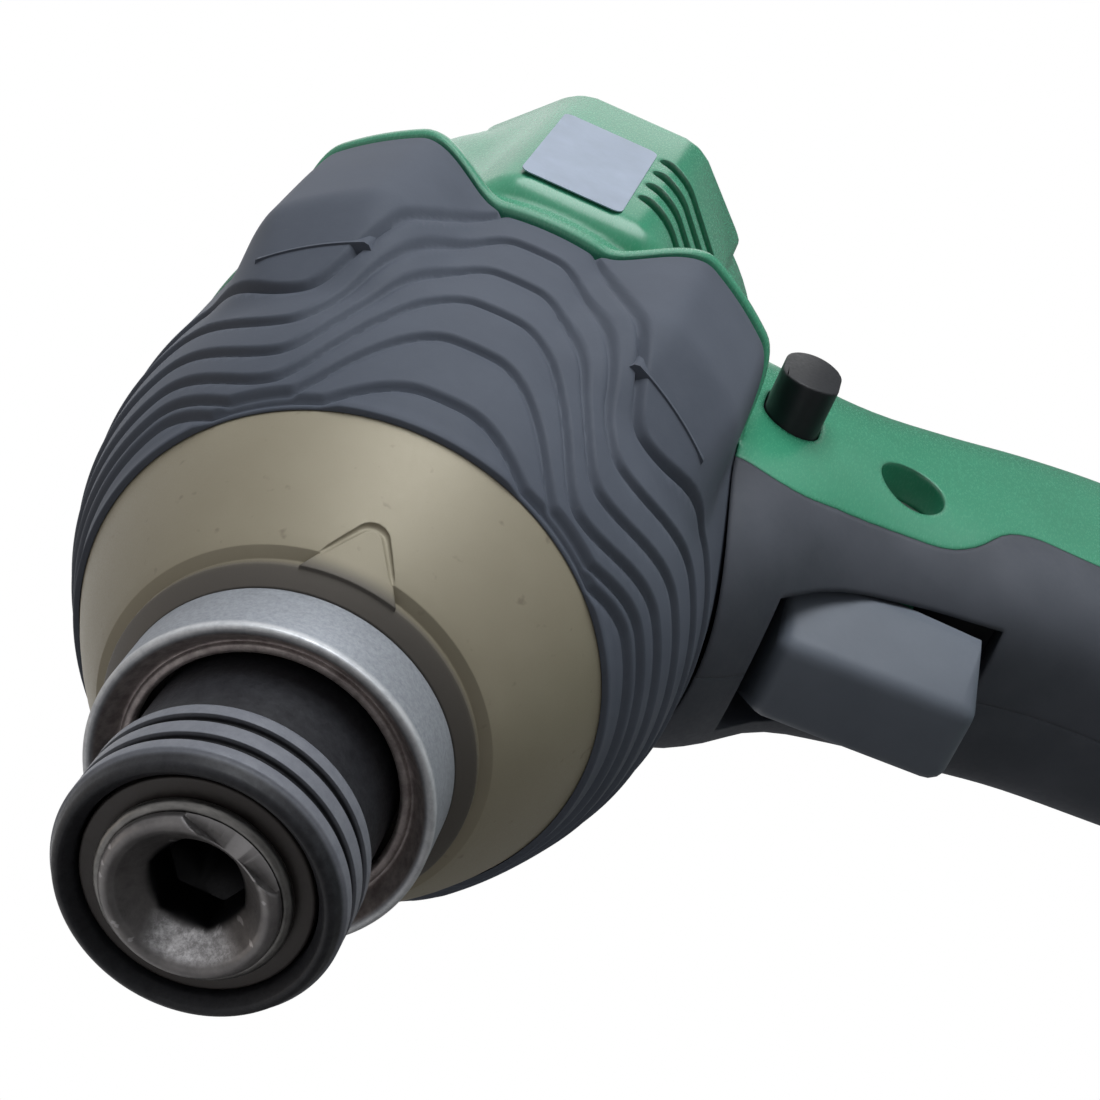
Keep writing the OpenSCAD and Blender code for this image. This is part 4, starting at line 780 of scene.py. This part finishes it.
# Handle: height, front, rear, half width, squareness
HANDLE_STATIONS = ((-18, -58.9, -114.7, 18.1, 2.4), (-30, -61.1, -115.7, 16.8, 2.4),
                   (-33.5, -65.0, -115.7, 16.3, 2.4), (-37, -69.9, -116.3, 15.7, 2.4),
                   (-46, -76.0, -119.1, 14.8, 2.7), (-55, -79.4, -122.6, 14.3, 3.1),
                   (-63, -82.3, -125.0, 14.0, 3.3), (-76, -83.9, -127.1, 14.1, 3.0),
                   (-96, -85.6, -128.6, 14.6, 2.5), (-114, -86.4, -127.9, 14.6, 2.5),
                   (-128, -81.8, -125.2, 16.3, 2.5),
                   (FOOT_JOIN, -71.9, -123.9, 22.1, 2.7), (-136, -67.6, -124.2, 24.1, 2.75))
GRIP_OUTLINE = ((-40, -20), (-74.5, -22), (-74, -31), (-80, -38), (-84, -50), (-92, -54), (-93, -63),
                (-97, -96), (-105, -112), (-105, -126), (-92, -131), (-40, -131))
TRIGGER = {"top": -34.0, "bottom": -54.0, "tip": -66.5, "rear": -78.0, "width": 15.0, "face": 9.6,
           "edge": 2.0, "rake": 2.0, "base": 2.0, "toe": 1.6}
# Plunger: height, radius, rear end, room round it, and its spring's pocket in the trigger
PLUNGER_Z, PLUNGER_R, PLUNGER_REAR, PLUNGER_ROOM, POCKET_R, POCKET_DEEP = -53, 2.0, -92, 3.4, 3.7, 3
SCREW_RECESSES, RECESS_R = ((-89, -42.5), (-111, -72), (-96, -118)), 3.7


def eased_rows(stations, step):
    """Rows between stations on a smooth curve through them, about a step apart in the first value."""
    s = np.array(stations, float)
    at, rest = s[:, 0], s[:, 1:]
    run = np.diff(at)[:, None]
    slope = np.diff(rest, axis=0) / run
    inner = (slope[:-1] * run[1:] + slope[1:] * run[:-1]) / (run[:-1] + run[1:])
    tangent = np.vstack((slope[:1], inner, slope[-1:]))
    rows = []
    for i in range(len(at) - 1):
        parts = max(1, int(round(abs(run[i, 0]) / step)))
        for t in np.arange(parts) / parts:
            h = run[i, 0]
            value = ((1 + 2 * t) * (1 - t) ** 2 * rest[i] + t * (1 - t) ** 2 * h * tangent[i]
                     + t * t * (3 - 2 * t) * rest[i + 1] + t * t * (t - 1) * h * tangent[i + 1])
            rows.append((at[i] + t * h, *value))
    return rows + [tuple(s[-1])]


def oval(half_a, half_b, square, around=96):
    """Points of a superellipse."""
    t = np.arange(around) * 2 * np.pi / around
    c, s = np.cos(t), np.sin(t)
    return half_a * np.sign(c) * np.abs(c) ** (2 / square), half_b * np.sign(s) * np.abs(s) ** (2 / square)


def loft(name, rows):
    """Closed skin over rows of points given in millimetres from the anvil tip."""
    points = np.array(rows, float)
    deselect()
    rows, columns = points.shape[:2]
    bpy.ops.mesh.primitive_grid_add(x_subdivisions=columns, y_subdivisions=rows - 1, size=1)
    piece = bpy.context.object
    piece.name = name
    points = np.concatenate((points, points[:, :1]), axis=1) * MM + np.array(NOSE)
    piece.data.vertices.foreach_set("co", points.astype(np.float32).ravel())
    piece.data.update()
    edit_all(piece)
    bpy.ops.mesh.remove_doubles(threshold=2e-6)
    bpy.ops.mesh.fill_holes(sides=0)
    bpy.ops.mesh.select_all(action="SELECT")
    bpy.ops.mesh.normals_make_consistent(inside=False)
    deselect()
    return piece


def level(z, front, rear, half_w, square):
    x, y = oval((front - rear) / 2, half_w, square)
    return np.stack((x + (front + rear) / 2, y, np.full_like(x, z)), axis=-1)


def upright(x, wide, high, square):
    y, z = oval(HEAD_W / 2 * wide, HEAD_H / 2 * high, square)
    return np.stack((np.full_like(y, x), y, z), axis=-1)


def prism(name, outline, low, high):
    """Side view of x and z points, extruded across the tool."""
    flat = np.array(outline, float)
    sides = [np.stack((flat[:, 0], np.full(len(flat), y), flat[:, 1]), axis=-1) for y in (low, high)]
    return loft(name, sides)


def stadium(a, b, radius, steps=12):
    """Outline of a slot with round ends between two x and z points."""
    a, b = np.array(a, float), np.array(b, float)
    turn = math.atan2(*(b - a)[::-1])
    out = []
    for end, start in ((b, turn - math.pi / 2), (a, turn + math.pi / 2)):
        for k in range(steps + 1):
            angle = start + math.pi * k / steps
            out.append(end + radius * np.array((math.cos(angle), math.sin(angle))))
    return out


def crate(name, low, high):
    """Box between two corners given in millimetres from the anvil tip."""
    deselect()
    middle = [(p + q) / 2 for p, q in zip(low, high)]
    bpy.ops.mesh.primitive_cube_add(size=1, location=tool(*middle))
    piece = bpy.context.object
    piece.name = name
    piece.scale = [(q - p) * MM for p, q in zip(low, high)]
    settle(piece)
    return piece


def rod(name, x0, x1, radius, y=0.0, z=0.0, around=96):
    """Cylinder along the drive axis."""
    deselect()
    bpy.ops.mesh.primitive_cylinder_add(vertices=around, radius=radius * MM, depth=abs(x1 - x0) * MM,
                                        location=tool((x0 + x1) / 2, y, z), rotation=(0, math.pi / 2, 0))
    piece = bpy.context.object
    piece.name = name
    settle(piece)
    return piece


def combine(piece, other, operation):
    """Boolean of one piece with another, which is used up."""
    pick(piece)
    change = piece.modifiers.new("combine", "BOOLEAN")
    change.solver = "EXACT"
    change.operation = operation
    change.object = other
    bpy.ops.object.modifier_apply(modifier="combine")
    bpy.data.objects.remove(other, do_unlink=True)


def softened(piece, width, segments=4, angle=20):
    """Edges rounded by a bevel."""
    pick(piece)
    edge = piece.modifiers.new("edge", "BEVEL")
    edge.width = width * MM
    edge.segments = segments
    edge.limit_method = "ANGLE"
    edge.angle_limit = math.radians(angle)
    bpy.ops.object.modifier_apply(modifier="edge")


def cleaned(piece):
    """Slivers and loose bits left by cutting merged away."""
    edit_all(piece)
    bpy.ops.mesh.remove_doubles(threshold=4e-6)
    bpy.ops.mesh.dissolve_degenerate(threshold=4e-6)
    bpy.ops.mesh.select_all(action="SELECT")
    bpy.ops.mesh.normals_make_consistent(inside=False)
    before = set(bpy.data.objects)
    bpy.ops.mesh.separate(type="LOOSE")
    deselect()
    bits = set(bpy.data.objects) - before
    piece.data = max((b.data for b in (piece, *bits)), key=lambda mesh: len(mesh.polygons))
    for bit in bits:
        bpy.data.objects.remove(bit, do_unlink=True)


def hull_of(name, points):
    """Convex solid round points given in millimetres from the anvil tip."""
    mesh = bpy.data.meshes.new(name)
    mesh.from_pydata([tool(*p) for p in points], [], [])
    piece = bpy.data.objects.new(name, mesh)
    bpy.context.scene.collection.objects.link(piece)
    edit_all(piece)
    bpy.ops.mesh.convex_hull()
    bpy.ops.mesh.select_all(action="SELECT")
    bpy.ops.mesh.dissolve_limited(angle_limit=math.radians(0.5))
    deselect()
    return piece


def half_of(piece, name, side):
    """One side of a piece, closed along the parting line."""
    pick(piece)
    bpy.ops.object.duplicate()
    half = bpy.context.object
    half.name = name
    edit_all(half)
    bpy.ops.mesh.bisect(plane_co=(0, side * PARTING * MM, 0), plane_no=(0, side, 0),
                        use_fill=True, clear_inner=True)
    cleaned(half)
    shade(half, 30)
    return half


def flank_pad(side):
    """Raised flat on the flank of the head, with slanted borders."""
    rear = COVER_SPLIT + 0.5
    top = [(x, side * PAD_Y, z) for x in (rear, PAD_FRONT) for z in (PAD_BOTTOM, PAD_TOP)]
    low = [(x, side * (PAD_Y - PAD_CHAMFER), z) for x in (rear, PAD_FRONT + PAD_CHAMFER / 2)
           for z in (PAD_BOTTOM - PAD_CHAMFER, PAD_TOP + PAD_CHAMFER)]
    pad = hull_of("pad", top + low)
    softened(pad, 2.2, 5)
    return pad


def guard_seat():
    """Room that the rubber guard takes up in front of the rim."""
    a = np.arange(240) * 1.5
    near = boss_near(a)
    under = np.abs((a + 270) % 360 - 180)
    rear = RUBBER_REAR - WAVE * near - 0.08
    out = np.where(under < 45, RIM_R - 0.2 + BOSS_RISE * near, 60.0)
    inner = OVERLAP_R + BOSS_RISE * near - 0.1
    front = np.full_like(a, -45.0)
    return bent_ring("seat", a, np.array((front, rear, rear, front)), np.array((out, out, inner, inner)), 30)


def housing_rim():
    """Green rim of the housing, rounded, along the rear edge of the guard."""
    a = np.arange(360.0)
    near = boss_near(a)
    x, r = RUBBER_REAR - WAVE * near - 0.1, RIM_R + BOSS_RISE * near
    back, floor = x - RIM_W, np.full_like(a, RIM_FLOOR)
    rows = [(x, floor), (x, r - 0.7), (x - 0.12, r - 0.3), (x - 0.4, r - 0.05), (x - 0.8, r),
            (x - 1.3, r - 0.04), (back, r - 0.35), (back - 0.6, r - 0.8), (back - 1.2, r - 1.5),
            (back - 1.8, r - 2.4), (back - 2.6, r - 4.2), (back - 2.8, floor)]
    return bent_ring("rim", a, np.array([p[0] for p in rows]), np.array([p[1] for p in rows]), 40)


def handle_cuts():
    """Openings that housing and grips share: trigger, switch, reversing button and screws."""
    cuts = [crate("cut", (-85.6, -7.9, -56.0), (-40, 7.9, -33.6)),
            crate("cut", (-108.6, -8.65, -68.2), (-85.0, 8.65, -47.8)),
            rod("cut", PLUNGER_REAR - 1, -76, PLUNGER_ROOM, 0, PLUNGER_Z, 32),
            prism("cut", stadium((-89.5, -28.4), (-86.5, -28.4), 3.2), -60, 60)]
    for x, z in SCREW_RECESSES:
        cuts.append(prism("cut", stadium((x - 0.01, z), (x + 0.01, z), RECESS_R, 16), 9, 60))
    return cuts


def handle_form():
    return loft("handle", [level(*row) for row in eased_rows(HANDLE_STATIONS, 2.0)])


def grip_zone(name, grow):
    outline = rounded([(x, z, 5.0) for x, z in GRIP_OUTLINE], steps=6)
    zone = prism(name, outline, -50, 50)
    if grow:
        edit_all(zone)
        bpy.ops.transform.shrink_fatten(value=grow * MM)
        deselect()
    return zone


def housing():
    """Green halves: head, rim, flank pads and handle made here, over the foot of the CAD halves."""
    shell = loft("housing", [upright(*row) for row in eased_rows(HEAD_STATIONS[:6], 2.5)])
    for form in (handle_form(), housing_rim(), flank_pad(1), flank_pad(-1)):
        combine(shell, form, "UNION")
    for cut in (guard_seat(), crate("cut", (CASE_REAR, -60, -33.6), (20, 60, 80)),
                rod("cut", -111.4, -40, HEAD_BORE), rod("cut", -125, -110, FAN_BORE),
                grip_zone("cut", 0.12), *handle_cuts()):
        combine(shell, cut, "DIFFERENCE")
    for i in range(SLOTS):
        back = SLOT_PITCH * i
        slot = prism("cut", stadium((-87 - back, -15.5), (-91.5 - back, -6.5), SLOT_R), -60, 60)
        combine(shell, slot, "DIFFERENCE")
    for name, side in (("left", 1), ("right", -1)):
        half = half_of(shell, "housing_shell_" + name, side)
        foot = smooth_copy("housing_" + name, "foot", 30)
        combine(foot, crate("cut", (-200, -80, FOOT_JOIN - 0.37), (80, 80, 80)), "DIFFERENCE")
        combine(half, foot, "UNION")
        cleaned(half)
        shade(half, 30)
        dress(half, GREEN, "body", "green_plastic", "housing_" + name)
    bpy.data.objects.remove(shell, do_unlink=True)


def rear_cover():
    """Rear cover: the CAD cover inside the head's tapering end."""
    cover = smooth_copy("rear_cover", "rear_cover_shell", 32)
    combine(cover, loft("end", [upright(*row) for row in eased_rows(HEAD_STATIONS[5:], 0.8)]), "INTERSECT")
    shade(cover, 32)
    dress(cover, GREEN, "body", "green_plastic", "rear_cover")


def grips():
    """Rubber halves that fill the front of the handle and the chin under the guard."""
    rubber = handle_form()
    combine(rubber, grip_zone("zone", 0.0), "INTERSECT")
    for cut in (guard_seat(), rod("cut", -140, 0, RIM_R - 0.2), *handle_cuts()):
        combine(rubber, cut, "DIFFERENCE")
    for side in (-1, 1):
        for i in range(4, 7):
            place = (-94.5 - i, side * (14.1 + 0.1 * i), -66.5 - 7.5 * i)
            deselect()
            bpy.ops.mesh.primitive_uv_sphere_add(segments=24, ring_count=12, radius=0.9 * MM,
                                                 location=tool(*place), rotation=(0, -math.atan2(3, 7), 0))
            groove = bpy.context.object
            groove.scale = (4.6, 1, 1)
            settle(groove)
            combine(rubber, groove, "DIFFERENCE")
    for name, side in (("left", 1), ("right", -1)):
        dress(half_of(rubber, "grip_rubber_" + name, side), GRIP, "body", "black_rubber", "grip_" + name)
    bpy.data.objects.remove(rubber, do_unlink=True)


def trigger():
    """Trigger: wide at the handle, narrowing to a rounded front face, with the plunger behind it."""
    t = TRIGGER
    points = []
    for x, z in ((t["tip"] - t["edge"], t["top"] - t["edge"] - 1),
                 (t["tip"] - t["edge"] - t["rake"], t["bottom"] + t["edge"] - t["toe"])):
        for y in (t["edge"] - t["face"] / 2, t["face"] / 2 - t["edge"]):
            for i in range(1, 8):
                for j in range(16):
                    polar, turn = math.pi * i / 8, math.pi * j / 8
                    points.append((x + t["edge"] * math.sin(polar) * math.cos(turn),
                                   y + t["edge"] * math.sin(polar) * math.sin(turn),
                                   z + t["edge"] * math.cos(polar)))
    for x in (t["rear"], t["rear"] + t["base"]):
        points += [(x, y, z) for y in (-t["width"] / 2, t["width"] / 2) for z in (t["bottom"], t["top"])]
    piece = hull_of("trigger_moulded", points)
    softened(piece, 0.7, 3, 34)
    floor = t["rear"] + POCKET_DEEP
    combine(piece, rod("pocket", t["rear"] - 1, floor, POCKET_R, 0, PLUNGER_Z, 48), "DIFFERENCE")
    combine(piece, rod("plunger", PLUNGER_REAR, floor + 1, PLUNGER_R, 0, PLUNGER_Z, 32), "UNION")
    shade(piece, 26)
    return dress(piece, GREY, "trigger", "grey_plastic", "trigger")


def coil(node, name, body, side=0):
    """A spring copied and smoothed from its CAD node, with a mesh of its own, on the body it rides with; where
    a side is given, only that side is kept.
    """
    piece = smooth_copy(node, name, 40)
    if side:
        edit_all(piece)
        bpy.ops.mesh.bisect(plane_co=(0, 0, 0), plane_no=(0, side, 0), clear_inner=True)
        deselect()
    dress(piece, STEEL, body, "spring_steel", *([node] if side <= 0 else []))
    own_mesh(piece)


hammer_case()
bit_sleeve()
nose_ring()
stop_washer()
guard()
blank_label()
anvil()
dress(smooth_copy("retaining_ring", "retaining_wire", 40), DARK_STEEL, "anvil", "spring_steel",
      "retaining_ring")
housing()
rear_cover()
grips()
trigger()
dress(smooth_copy("reverse_button", "reverse_knob", 30, 1.6), BLACK, "reverse_button", "black_plastic",
      "reverse_button")
coil("hammer_spring", "hammer_coil", "spindle")
coil("sleeve_spring", "sleeve_coil", "anvil")
coil("trigger_spring", "trigger_coil", "body")
coil("latch_springs", "latch_coil_left", "battery", 1)
coil("latch_springs", "latch_coil_right", "battery", -1)


# Studio

def studio():
    scene = bpy.context.scene
    scene.view_settings.view_transform = "Standard"
    deselect()
    bpy.ops.mesh.primitive_plane_add(size=8, location=(0, 0, -0.0002))
    floor = bpy.context.object
    floor.name = "studio_floor"
    settle(floor)
    finish = bpy.data.materials.new("pale_floor")
    finish.use_nodes = True
    tree = finish.node_tree
    tree.nodes.clear()
    out = tree.nodes.new("ShaderNodeOutputMaterial")
    matt = tree.nodes.new("ShaderNodeBsdfDiffuse")
    matt.inputs["Color"].default_value = (0.86, 0.86, 0.86, 1)
    glow = tree.nodes.new("ShaderNodeEmission")
    path = tree.nodes.new("ShaderNodeLightPath")
    place = tree.nodes.new("ShaderNodeTexCoord")
    span = tree.nodes.new("ShaderNodeVectorMath")
    span.operation = "LENGTH"
    tree.links.new(place.outputs["Object"], span.inputs[0])
    far = tree.nodes.new("ShaderNodeMapRange")
    far.inputs["From Min"].default_value = 0.14
    far.inputs["From Max"].default_value = 0.3
    tree.links.new(span.outputs["Value"], far.inputs["Value"])
    seen = tree.nodes.new("ShaderNodeMath")
    seen.operation = "MULTIPLY"
    tree.links.new(far.outputs["Result"], seen.inputs[0])
    tree.links.new(path.outputs["Is Camera Ray"], seen.inputs[1])
    mix = tree.nodes.new("ShaderNodeMixShader")
    tree.links.new(seen.outputs["Value"], mix.inputs["Fac"])
    tree.links.new(matt.outputs["BSDF"], mix.inputs[1])
    tree.links.new(glow.outputs["Emission"], mix.inputs[2])
    tree.links.new(mix.outputs["Shader"], out.inputs["Surface"])
    floor.data.materials.append(finish)

    world = bpy.data.worlds.new("studio")
    scene.world = world
    world.use_nodes = True
    tree = world.node_tree
    tree.nodes.clear()
    out = tree.nodes.new("ShaderNodeOutputWorld")
    soft = tree.nodes.new("ShaderNodeBackground")
    soft.inputs["Color"].default_value = (0.96, 0.98, 1.0, 1)
    soft.inputs["Strength"].default_value = 0.12
    white = tree.nodes.new("ShaderNodeBackground")
    white.inputs["Color"].default_value = (1, 1, 1, 1)
    white.inputs["Strength"].default_value = 1.0
    path = tree.nodes.new("ShaderNodeLightPath")
    seen = path.outputs["Is Camera Ray"]
    for ray in ("Is Glossy Ray", "Is Transmission Ray"):
        either = tree.nodes.new("ShaderNodeMath")
        either.operation = "MAXIMUM"
        tree.links.new(seen, either.inputs[0])
        tree.links.new(path.outputs[ray], either.inputs[1])
        seen = either.outputs["Value"]
    mix = tree.nodes.new("ShaderNodeMixShader")
    tree.links.new(seen, mix.inputs["Fac"])
    tree.links.new(soft.outputs["Background"], mix.inputs[1])
    tree.links.new(white.outputs["Background"], mix.inputs[2])
    tree.links.new(mix.outputs["Shader"], out.inputs["Surface"])


def lamp(name, place, aim, size, power, tint=(1, 1, 1)):
    deselect()
    bpy.ops.object.light_add(type="AREA", location=place)
    light = bpy.context.object
    light.name = name
    light.data.shape = "DISK"
    light.data.size = size
    light.data.energy = power
    light.data.color = tint
    light.rotation_euler = (Vector(aim) - Vector(place)).to_track_quat("-Z", "Y").to_euler()


def camera():
    """At the photograph's place: front left of the nose, rolled so that up points to the picture's left."""
    right = Vector((-0.200141, 0.359468, -0.911442))
    down = Vector((0.406601, -0.815902, -0.411072))
    ahead = Vector((-0.891414, -0.452865, 0.017135))
    data = bpy.data.cameras.new("camera")
    data.sensor_fit = "HORIZONTAL"
    data.sensor_width = 36
    data.lens = 2298.396 * 36 / 1100
    data.clip_start = 0.01
    eye = bpy.data.objects.new("camera", data)
    bpy.context.scene.collection.objects.link(eye)
    turn = Matrix((right, -down, -ahead)).transposed().to_4x4()
    eye.matrix_world = Matrix.Translation(tool(127.1354, 101.2542, -15.7411)) @ turn
    bpy.context.scene.camera = eye


studio()
lamp("key", (-0.2, 0.88, 0.27), (0.0, 0.0, 0.2), 0.7, 7.3, (0.95, 0.98, 1.0))
lamp("fill", (0.35, -0.3, 1.1), (0.0, 0.0, 0.2), 0.5, 0.55, (1.0, 0.82, 0.64))
camera()
